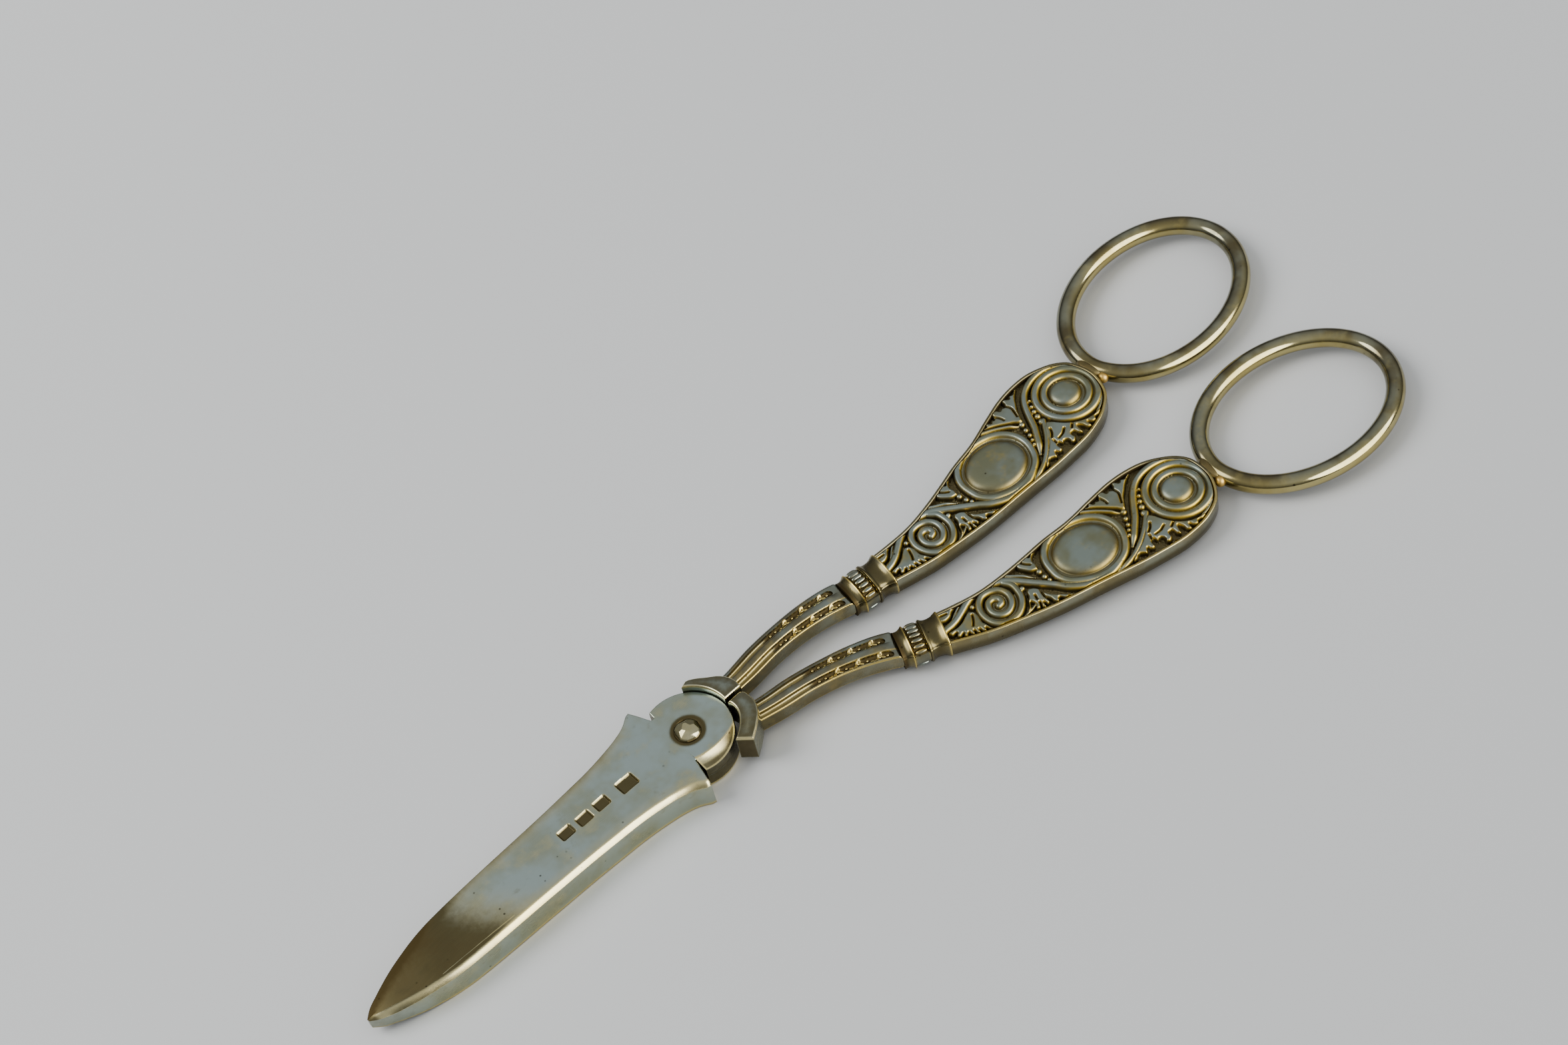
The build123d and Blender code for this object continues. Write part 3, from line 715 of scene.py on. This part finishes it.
# The frame's section, as (inward, up): wall, rounded rim and the rim's inner side, then the same below.
rim_section = [
    (0.0, 0.5), (0.0, 1.3), (0.04, 1.4), (0.14, 1.46), (0.28, 1.46), (0.4, 1.41), (0.5, 1.28), (0.52, 0.9),
    (0.52, 0.4),
]
rim_section = np.array(rim_section + [(a, -b) for a, b in rim_section[::-1]])


def inward_normals(line):
    """The unit normals on the right of a plan line: each is the central difference turned a quarter turn
    clockwise."""
    run = np.gradient(line, axis=0)
    run /= np.linalg.norm(run, axis=1, keepdims=True)
    return np.stack([run[:, 1], -run[:, 0]], axis=1)


outline = smooth_line(handle_outline, 420)
inward = inward_normals(outline)
deep, high = rim_section.T
plan = outline[:, None] + inward[:, None] * deep[:, None]
rings = np.concatenate([plan, mid_height + np.broadcast_to(high[:, None], plan[..., :1].shape)], axis=-1)
on_rim = np.abs(high) > 1.35
gilt_and_gleam = np.where(deep < 0.45, np.where(on_rim, 0.6, 0.15), 0)
# Below the middle the wall is painted darker, as shade.
dark = np.where(deep > 0.45, 0.9, np.where(on_rim, 0.05, np.where(high > 0, 0.12, 0.55)))
# The rim of the high side is painted darker and less gilt, as shade.
painted_shade_side = soft_step(-1.0, 3.0, outline[:, 1:])
wear_and_light = {
    "dark": np.clip(dark + 0.38 * painted_shade_side * (np.abs(high) > 1.25), 0, 1),
    "gilt_and_gleam": gilt_and_gleam * (1 - 0.7 * painted_shade_side),
}
for half in ("upper", "lower"):
    frame_name, frame_rings = half + "_handle_frame", lie(rings, half)
    handle_frame = make_skin(frame_name, frame_rings, half, handle_silver, wear_and_light, round_trip=True, sharp=50)
    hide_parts(half + "_handle")


# Ornament plates
# Struck silver plates let into both faces of each frame, with an oval boss, a round boss in two rings, a
# volute, long stems, beads and acanthus leaves. The ground between them is deep and holds dark patina.
ground, matting_deep, plate_foot, plate_keep = 3.07, 0.05, 2.7, 200
# Stems: the middle line, half the width and the height.
stem_lines = [
    ([
        (37.4, -1.3), (38.3, -1.0), (39.2, -0.8), (40.4, -0.3), (41.5, 0.4), (42.5, 1.1), (43.7, 1.8),
        (45.1, 2.2), (46.7, 2.3), (48.2, 2.1), (49.6, 1.5), (50.8, 0.6), (52.1, -0.5), (53.4, -1.6),
        (54.9, -2.9), (56.2, -4.2), (57.6, -5.1), (59.4, -5.8), (61.5, -5.9), (63.3, -5.4), (64.8, -4.6),
        (65.9, -3.7),
    ], 0.68, 1.0),
    ([
        (82.3, 4.9), (81.0, 6.3), (79.4, 7.2), (77.5, 7.4), (75.7, 7.1), (74.2, 6.4), (73.0, 5.3),
        (72.1, 4.0), (71.3, 2.5), (70.4, 0.7), (69.4, -0.8), (68.5, -2.1), (67.5, -3.3),
    ], 0.66, 1.0),
    ([
        (72.2, 0.6), (71.6, -0.2), (70.6, -1.5), (69.3, -2.9), (67.9, -4.1), (66.3, -5.1), (64.9, -5.7),
        (63.5, -6.0),
    ], 0.5, 0.85),
    ([
        (63.3, 6.1), (64.1, 6.0), (65.0, 5.6), (66.1, 5.0), (67.1, 4.3), (68.0, 3.6), (68.8, 2.9),
        (69.5, 2.5),
    ], 0.38, 0.95),
    ([(47.9, 2.9), (49.3, 2.6), (50.5, 1.8), (51.7, 1.0), (52.6, 0.3), (53.3, -0.2)], 0.34, 0.85),
    ([(51.0, -4.3), (49.6, -4.9), (48.6, -5.2), (47.6, -5.3)], 0.26, 0.6),
    ([(78.6, -4.3), (79.6, -3.9), (80.8, -3.1), (81.8, -1.9), (82.4, -0.6)], 0.3, 0.65),
    ([(42.6, 1.9), (41.6, 1.5), (40.6, 0.7), (39.7, 0.0), (38.7, -0.2)], 0.26, 0.6),
]
volute_line = [
    (49.0, 1.5), (49.8, 0.5), (50.0, -0.8), (49.9, -2.0), (49.3, -3.3), (48.3, -4.3), (46.9, -4.8),
    (45.5, -4.6), (44.5, -3.8), (43.9, -2.5), (43.8, -1.0), (44.3, 0.3), (45.3, 1.2), (46.6, 1.3),
    (47.8, 0.8), (48.5, -0.3), (48.5, -1.6), (47.9, -2.7), (46.9, -3.3), (45.9, -3.1), (45.2, -2.3),
    (45.1, -1.2), (45.6, -0.3), (46.4, -0.1), (47.1, -0.6), (47.0, -1.4), (46.5, -1.6),
]
oval_line = [
    (57.4, 3.9), (58.9, 4.8), (60.7, 5.3), (62.8, 5.3), (64.8, 4.7), (66.4, 3.5), (67.4, 1.8),
    (67.6, -0.1), (67.1, -2.0), (66.1, -3.6), (64.3, -4.8), (62.4, -5.3), (60.6, -5.2), (58.8, -4.6),
    (57.0, -3.5), (56.0, -1.9), (55.8, -0.3), (55.9, 1.4), (56.5, 2.8), (57.4, 3.9),
]
volute_middle, ring_middle = np.array([46.9, -1.8]), np.array([78.1, 1.5])
dome_middle, oval_middle = np.array([78.0, 1.75]), np.array([61.65, 0.05])
dome_wide, oval_size, boss_high = 2.6, np.array([5.15, 4.5]), 1.25
# Half the width and the height of the volute's, the oval's and the rings' ridges.
volute_ridge, oval_ridge, ring_ridge, ring_radii = (0.64, 0.95), (0.72, 1.0), (0.74, 1.0), (3.33, 4.72)
leaf_high, leaf_round, slit_deep, slit_wide = 0.95, 0.34, 0.6, 0.14
# Beads: the place and the radius.
beads = [
    (73.5, 4.7, 0.28), (72.9, 3.7, 0.36), (72.5, 2.8, 0.44), (72.2, 1.8, 0.52), (71.9, 0.7, 0.56),
    (69.2, 1.3, 0.46), (68.9, 0.2, 0.42), (68.5, -0.7, 0.36), (68.1, -1.5, 0.3), (43.2, 0.3, 0.4),
    (50.7, -0.9, 0.44), (50.1, -0.3, 0.3), (54.2, 0.3, 0.5), (54.4, -0.9, 0.46), (54.7, -1.8, 0.4),
    (69.6, 2.5, 0.52), (73.1, -6.2, 0.3),
]
# Leaves: the outline round the lobes, and the slits cut between them.
leaves = [
    ([
        (43.0, -0.5), (43.2, -1.1), (43.2, -2.1), (43.2, -2.8), (43.5, -3.5), (43.8, -4.3), (44.3, -5.0),
        (43.5, -4.5), (43.1, -3.9), (42.9, -4.6), (42.5, -4.4), (42.2, -3.6), (42.1, -4.3), (41.7, -4.3),
        (41.5, -3.4), (41.2, -4.1), (40.9, -3.9), (40.7, -3.3), (40.1, -3.9), (39.7, -3.7), (40.0, -3.0),
        (39.3, -3.3), (38.9, -3.1), (39.2, -2.4), (38.4, -2.5), (38.1, -1.8), (38.8, -1.7), (39.7, -1.6),
        (40.7, -1.2), (41.5, -0.6), (42.3, -0.2),
    ], [
        [(42.5, -1.0), (42.1, -2.0), (41.7, -2.7)],
    ]),
    ([
        (51.2, -1.5), (52.1, -1.8), (52.7, -2.4), (53.1, -3.4), (53.8, -4.2), (54.9, -5.0), (55.9, -5.6),
        (57.2, -6.1), (55.9, -6.2), (55.0, -5.9), (54.3, -5.3), (53.9, -5.9), (53.4, -5.6), (53.1, -4.7),
        (52.7, -4.2), (52.8, -5.2), (52.4, -5.4), (52.1, -4.7), (51.9, -5.8), (51.5, -5.5), (51.6, -4.4),
        (51.1, -5.4), (50.6, -5.3), (50.9, -4.3), (50.6, -3.7), (49.9, -4.9), (49.3, -5.1), (49.9, -4.2),
        (50.3, -3.3), (50.7, -2.6), (50.8, -2.0),
    ], [
        [(52.7, -2.6), (52.6, -3.3), (52.6, -4.0)],
        [(51.6, -3.0), (51.5, -3.8)],
    ]),
    ([
        (54.3, 0.6), (54.5, 1.5), (54.4, 2.3), (54.8, 3.1), (55.6, 3.8), (55.5, 4.2), (54.7, 3.7),
        (54.2, 3.2), (53.9, 3.6), (53.3, 3.4), (52.8, 3.7), (52.0, 3.6), (51.8, 3.0), (51.9, 2.3),
        (52.5, 1.5), (53.3, 0.8),
    ], [
        [(52.7, 2.9), (53.2, 2.3), (53.7, 1.9)],
    ]),
    ([
        (70.1, 2.7), (70.6, 3.8), (71.1, 4.8), (71.8, 5.7), (72.4, 6.5), (73.2, 7.3), (74.0, 8.0),
        (73.4, 7.9), (72.8, 7.5), (72.1, 7.7), (71.8, 7.3), (71.2, 7.8), (70.7, 7.8), (70.6, 7.2),
        (70.3, 6.7), (69.7, 6.9), (69.3, 6.7), (69.1, 7.1), (68.5, 7.4), (67.9, 7.3), (67.8, 6.5),
        (67.5, 6.2), (67.1, 6.5), (66.8, 6.1), (66.3, 6.6), (65.9, 6.5), (65.8, 6.1), (65.3, 6.4),
        (64.7, 6.5), (65.6, 5.8), (66.5, 5.3), (67.4, 4.7), (68.2, 4.1), (69.0, 3.5), (69.6, 2.9),
    ], [
        [(70.4, 6.6), (70.7, 5.8), (70.5, 4.9), (70.2, 4.0)],
        [(68.0, 6.3), (68.3, 5.6), (68.4, 5.0)],
    ]),
    ([
        (72.1, 0.1), (72.8, -0.6), (73.4, -1.5), (74.0, -2.3), (74.8, -3.1), (75.8, -3.8), (76.7, -4.2),
        (77.7, -4.4), (78.9, -4.3), (79.2, -4.6), (78.3, -5.0), (77.6, -4.9), (77.3, -5.4), (76.6, -5.3),
        (76.2, -4.7), (76.0, -5.7), (75.4, -5.5), (75.1, -4.5), (74.7, -4.0), (74.5, -4.8), (74.3, -5.5),
        (73.8, -5.2), (73.5, -4.3), (73.0, -4.4), (72.9, -5.4), (72.3, -5.8), (71.8, -5.6), (71.9, -4.9),
        (71.4, -4.5), (70.9, -4.7), (70.6, -4.1), (70.2, -4.3), (70.0, -5.5), (69.4, -5.5), (69.1, -5.0),
        (68.5, -5.8), (68.0, -5.5), (67.5, -5.3), (66.9, -5.8), (66.2, -5.9), (66.8, -5.1), (67.7, -4.5),
        (68.9, -3.6), (69.9, -2.6), (70.6, -1.6), (71.4, -0.5),
    ], [
        [(71.6, -1.4), (71.2, -2.1), (70.6, -2.7)],
        [(73.0, -2.9), (72.2, -3.4), (71.2, -3.6)],
        [(74.4, -3.2), (73.8, -3.7)],
        [(70.4, -3.2), (70.3, -3.9)],
    ]),
    ([
        (38.0, 1.9), (38.7, 1.9), (39.8, 1.8), (40.8, 1.9), (41.3, 1.7), (40.5, 1.2), (39.8, 0.5),
        (38.8, 0.2), (38.0, 0.5), (37.8, 1.3),
    ], [
        [(38.6, 1.3), (39.5, 1.2)],
    ]),
]


def inside_polygon(points, polygon):
    """True inside a closed polygon: a ray towards +X crosses its sides an odd number of times."""
    px, py = points[..., 0], points[..., 1]
    odd = np.zeros(px.shape, bool)
    for (x0, y0), (x1, y1) in zip(polygon, np.roll(polygon, -1, axis=0)):
        if y0 != y1:
            odd ^= ((py > y0) != (py > y1)) & (px < x0 + (py - y0) * (x1 - x0) / (y1 - y0))
    return odd


def ridge(distance, half_width, height):
    """A ridge with a broad rubbed back: height times (1 - (d / half width)^3)^0.8, and none further out."""
    return height * np.maximum(1 - (distance / half_width) ** 3, 0) ** 0.8


def boss(share, power):
    """A boss that is nearly flat and falls at its edge: height times (1 - share^power)^0.6, less a little
    that grows with the share squared."""
    return boss_high * np.maximum(1 - share**power, 0) ** 0.6 - 0.12 * share**2


def boss_shares(points):
    """How far out points lie on the oval boss and on the round one: 0 at the middle and 1 at the edge."""
    off_oval = np.linalg.norm((points - oval_middle) / oval_size, axis=-1)
    return off_oval, np.linalg.norm(points - dome_middle, axis=-1) / dome_wide


def relief(points):
    """Height above the ground of the struck ornament at plan points: the highest of its ridges, rings,
    bosses, beads and leaves."""
    lift = np.zeros(points.shape[:-1])
    for line, half_width, height in stem_lines:
        smooth = smooth_line(line, 8 * len(line))
        taper = soft_step(0, 1.8, np.linalg.norm(points - smooth[-1], axis=-1)) * 0.5 + 0.5
        lift = np.maximum(lift, ridge(distance_to(points, smooth), half_width * taper, height * taper))
    for line, count, size in ((volute_line, 190, volute_ridge), (oval_line, 150, oval_ridge)):
        lift = np.maximum(lift, ridge(distance_to(points, smooth_line(line, count)), *size))
    off_oval, off_dome = boss_shares(points)
    lift = np.maximum(np.maximum(lift, boss(off_oval, 9)), boss(off_dome, 6))
    from_ring = np.linalg.norm(points - ring_middle, axis=-1)
    for radius in ring_radii:
        lift = np.maximum(lift, ridge(np.abs(from_ring - radius), *ring_ridge))
    # The ground is struck less deep within the oval, the rings and the volute.
    from_volute = np.linalg.norm(points - volute_middle, axis=-1)
    for within, shallow in ((off_oval < 1.14, 0.45), (from_ring < 4.2, 0.4), (from_volute < 2.6, 0.28)):
        lift = np.maximum(lift, shallow * within)
    for bead_x, bead_y, radius in beads:
        off = np.hypot(points[..., 0] - bead_x, points[..., 1] - bead_y) / radius
        lift = np.maximum(lift, (0.3 + 0.6 * np.sqrt(np.maximum(1 - off**2, 0))) * (off < 1))
    for shape, slits in leaves:
        edge = smooth_line(shape + shape[:1], 6 * len(shape))
        inner = np.minimum(distance_to(points, edge) / leaf_round, 1)
        body = inside_polygon(points, edge) * np.sqrt(1 - (1 - inner) ** 2) * leaf_high
        for slit in slits:
            cut = bell(distance_to(points, smooth_line(slit, 12)), slit_wide)
            body = body - slit_deep * cut * (body > 0)
        lift = np.maximum(lift, body)
    return lift


# The plate fills the frame from rim to rim, with its stations crowded toward the round end.
inner_edge = outline + inward * rim_width
end = int(np.argmax(inner_edge[:, 0]))
plate_from, crowd_from, plate_to = handle_outline[0][0], 80.0, inner_edge[end, 0]
x = np.concatenate([
    np.linspace(plate_from, crowd_from, 474)[:-1],
    plate_to - (plate_to - crowd_from) * np.linspace(1, 0, 56) ** 1.7,
])[:, None]
high_y, low_y = [
    np.interp(x, *line[np.argsort(line[:, 0])].T) for line in (inner_edge[: end + 1], inner_edge[end:][::-1])
]
y = low_y + (high_y - low_y) * np.linspace(0, 1, 170)
plan = np.stack([np.broadcast_to(x, y.shape), y], axis=-1)
rim_gap = np.minimum(distance_to(plan, inner_edge[::3]), 1.0)
lift = relief(plan) * soft_step(0.0, 0.16, rim_gap)
# The ground is matted with fine wavy punch lines.
matting = np.sin(x * 21 + 3 * np.sin(y * 5)) * np.sin(y * 19 + 2 * np.sin(x * 7))
face = ground + lift + matting_deep * matting * (lift < 0.1)
rings = plate_rings(plan, face, np.full_like(face, plate_foot), plate_keep)
# Gilding is left on the steep slopes, and the slopes that face the low side, toward the edge lamp, get more
# as a painted gold gleam.
slope_x, slope_y = np.gradient(lift, axis=0) / 0.09, np.gradient(lift, axis=1) / 0.08
steep, lit_slope = np.hypot(slope_x, slope_y), 0.95 * slope_y - 0.3 * slope_x
gilt_and_gleam = np.maximum(0.35 * soft_step(0.6, 1.8, steep), soft_step(0.2, 0.9, lit_slope))
gilt_and_gleam = gilt_and_gleam * soft_step(0.1, 0.35, lift)
dark = 0.14 * soft_step(0.1, 0.02, lift) + 0.46 * soft_step(0.88, 0.1, lift)
dark = dark + 0.15 * soft_step(0.5, 1.5, steep)
# Thumbs have not reached the shoulders of the two bosses, so an olive tarnish rings them.
for off, flat_share in zip(boss_shares(plan), (0.6, 0.5)):
    dark = np.maximum(dark, 0.44 * soft_step(flat_share, 1.0, off) * (off < 1.02))
dark = np.clip(dark, 0, 1)
wear_and_light = {
    "dark": both_faces(dark, 0.9, 0.9, keep=plate_keep), "gilt_and_gleam": both_faces(gilt_and_gleam, 0.0, 0.0, keep=plate_keep),
}
# The struck plates are matt, with pale rubbed tops, gold on the slopes, partly a painted gleam on those
# facing the low side, and dark patina in the ground.
struck_silver = aged_silver(
    "struck and oxidised silver", "ornament_silver", "#838C83", "#72735B", "#C2A336", 0.3, 0.005,
)
for half in ("upper", "lower"):
    for face_name, flip in (("front", 1), ("back", -1)):
        struck = rings.copy()
        struck[..., 2] = mid_height + flip * (struck[..., 2] - mid_height)
        name = half + "_" + face_name
        plate = make_skin(name + "_ornament", lie(struck, half), half, struck_silver, wear_and_light, sharp=60)
        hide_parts(name + "_plate")


# Finger bows
# Each bow is drawn silver wire bent to an oval and joined. It narrows and flattens a little where it is
# soldered to the handle's end, with a small warm-coloured bead of solder left on the inner side.
bow_middle, bow_long, bow_short, wire_radius = np.array([100.5, 4.75]), 15.7, 11.75, 1.45
bow_turn = math.radians(7.5)
# Drawn wire stays the smoothest of all. Its low side, toward the edge lamp, is painted gilt and lighter as a
# gleam, and its underside is painted darker as shade.
bow_silver = aged_silver(
    "drawn and polished silver", "handle_silver", "#82826F", "#5E563F", "#CDBA70", 0.04, 0.002,
)
round_bow = np.linspace(0, 2 * math.pi, 257)[:-1][:, None]
round_wire = np.linspace(0, 2 * math.pi, 41)[:-1]
c, s = math.cos(bow_turn), math.sin(bow_turn)
out_x, out_y = np.cos(round_bow) / bow_long, np.sin(round_bow) / bow_short
length = np.hypot(out_x, out_y)
out_x, out_y = out_x / length, out_y / length
foot = bell(round_bow - math.pi, 0.2)
out = wire_radius * (1 - 0.06 * foot) * np.cos(round_wire)
x = bow_long * np.cos(round_bow) + out_x * out
y = bow_short * np.sin(round_bow) + out_y * out
z = mid_height + wire_radius * (1 - 0.12 * foot) * np.sin(round_wire)
rings = np.stack([bow_middle[0] + x * c - y * s, bow_middle[1] + x * s + y * c, z], axis=-1)
# The underside is painted darker as shade, and the side toward the edge lamp is painted lighter and gilt as a
# gleam.
shaded_underside = np.clip(-np.sin(round_wire), 0, 1)
lit_side = np.clip(-(out_x * s + out_y * c) * np.cos(round_wire), 0, 1)
wear_and_light = {"dark": 0.25 * foot + 0.14 + 0.3 * shaded_underside - 0.12 * lit_side, "gilt_and_gleam": 0.6 * lit_side + 0.3 * foot}
for half in ("upper", "lower"):
    bow = make_skin(half + "_bow_wire", lie(rings, half), half, bow_silver, wear_and_light, round_trip=True, sharp=60)
    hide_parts(half + "_bow")


def signed_power(value, power):
    """The power of a value's size, with the value's sign."""
    return np.sign(value) * np.abs(value) ** power


# Solder: a saddle between the handle's end and the bow, and a bead beside it.
saddle_middle, saddle_size, saddle_bend = (83.75, 2.75, mid_height), (1.05, 2.6, 1.3), 0.12
bead_middle, bead_size = (84.15, -0.1, 2.75), (0.75, 0.85, 0.85)
along = np.linspace(-math.pi / 2, math.pi / 2, 30)[:, None]
around = np.linspace(0, 2 * math.pi, 49)[:-1]
reach = saddle_size[1] * np.sin(along)
bend = saddle_bend * reach**2
saddle = np.stack([
    saddle_middle[0] + saddle_size[0] * np.cos(along) * signed_power(np.cos(around), 0.8) + bend,
    saddle_middle[1] + reach + 0 * around,
    saddle_middle[2] + saddle_size[2] * np.cos(along) ** 0.8 * signed_power(np.sin(around), 0.8),
], axis=-1)
bead = np.stack([
    bead_middle[0] + bead_size[0] * np.cos(along) * np.cos(around),
    bead_middle[1] + bead_size[1] * np.sin(along) + 0 * around,
    bead_middle[2] + bead_size[2] * np.cos(along) * np.sin(around),
], axis=-1)
# Silver solder is yellower than what it joins, and the saddle keeps more dirt than the bead.
solder_silver = aged_silver(
    "flowed silver solder", "solder_silver", "#B39C5E", "#8F7A48", "#C8A55A", 0.3, 0.02,
)
saddle_wear, bead_wear = {"dark": 0.45, "gilt_and_gleam": 0.6}, {"dark": 0.1, "gilt_and_gleam": 1.0}
for half in ("upper", "lower"):
    lug = make_skin(half + "_solder_saddle", lie(saddle, half), half, solder_silver, saddle_wear, sharp=70)
    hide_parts(half + "_bow_lug")
    make_skin(half + "_solder_bead", lie(bead, half), half, solder_silver, bead_wear, sharp=70)


# Floor and light
# A pale matt paper sheet to lie on, a soft lamp high beyond the blades, a wide lower one on the right for
# the gleams, and a soft room that is brighter overhead. These lengths are metres.
sheet_reach, sheet_height = 3.0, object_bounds()[0][2]
sheet_mesh = bpy.data.meshes.new("pale_sheet")
corner_signs = ((-1, -1), (1, -1), (1, 1), (-1, 1))
sheet_corners = [(sheet_reach * a, sheet_reach * b, sheet_height) for a, b in corner_signs]
sheet_mesh.from_pydata(sheet_corners, [], [(0, 1, 2, 3)])
sheet = bpy.data.objects.new("pale_sheet", sheet_mesh)
bpy.context.scene.collection.objects.link(sheet)
paper = bpy.data.materials.new("pale matt paper")
paper.use_nodes = True
paper_shader = paper.node_tree.nodes["Principled BSDF"]
paper_shader.inputs["Base Color"].default_value = srgb("#E4E4E2")
paper_shader.inputs["Roughness"].default_value = 0.9
sheet_mesh.materials.append(paper)

# Each lamp's place, width, height and watts.
lamps = (
    ("high lamp", (-0.68, 0.62, 0.92), 0.85, 0.85, 12.0), ("edge lamp", (0.36, -0.78, 0.5), 1.2, 0.9, 22.0),
)
for name, place, wide, tall, watts in lamps:
    lamp = bpy.data.lights.new(name, "AREA")
    lamp.shape, lamp.size, lamp.size_y, lamp.energy = "ELLIPSE", wide, tall, watts
    holder = bpy.data.objects.new(name, lamp)
    facing = Vector(place).to_track_quat("Z", "Y").to_matrix().to_4x4()
    holder.matrix_world = Matrix.Translation(place) @ facing
    bpy.context.scene.collection.objects.link(holder)
# The edge lamp is there for the gleams alone, and the floor keeps the shadow of the high one.
holder.visible_diffuse = False
room = bpy.data.worlds.new("soft room")
room.use_nodes = True
sky = room.node_tree
sky_place = add_node(sky, "ShaderNodeTexCoord").outputs["Generated"]
overhead = add_node(sky, "ShaderNodeSeparateXYZ", {"Vector": sky_place}).outputs["Z"]
bright = add_node(
    sky, "ShaderNodeMapRange",
    {"Value": overhead, "From Min": 0.05, "From Max": 0.85, "To Min": 0.16, "To Max": 0.9},
    interpolation_type="SMOOTHSTEP",
).outputs["Result"]
sky.nodes["Background"].inputs["Color"].default_value = srgb("#E6EAEE")
sky.links.new(bright, sky.nodes["Background"].inputs["Strength"])
bpy.context.scene.world = room
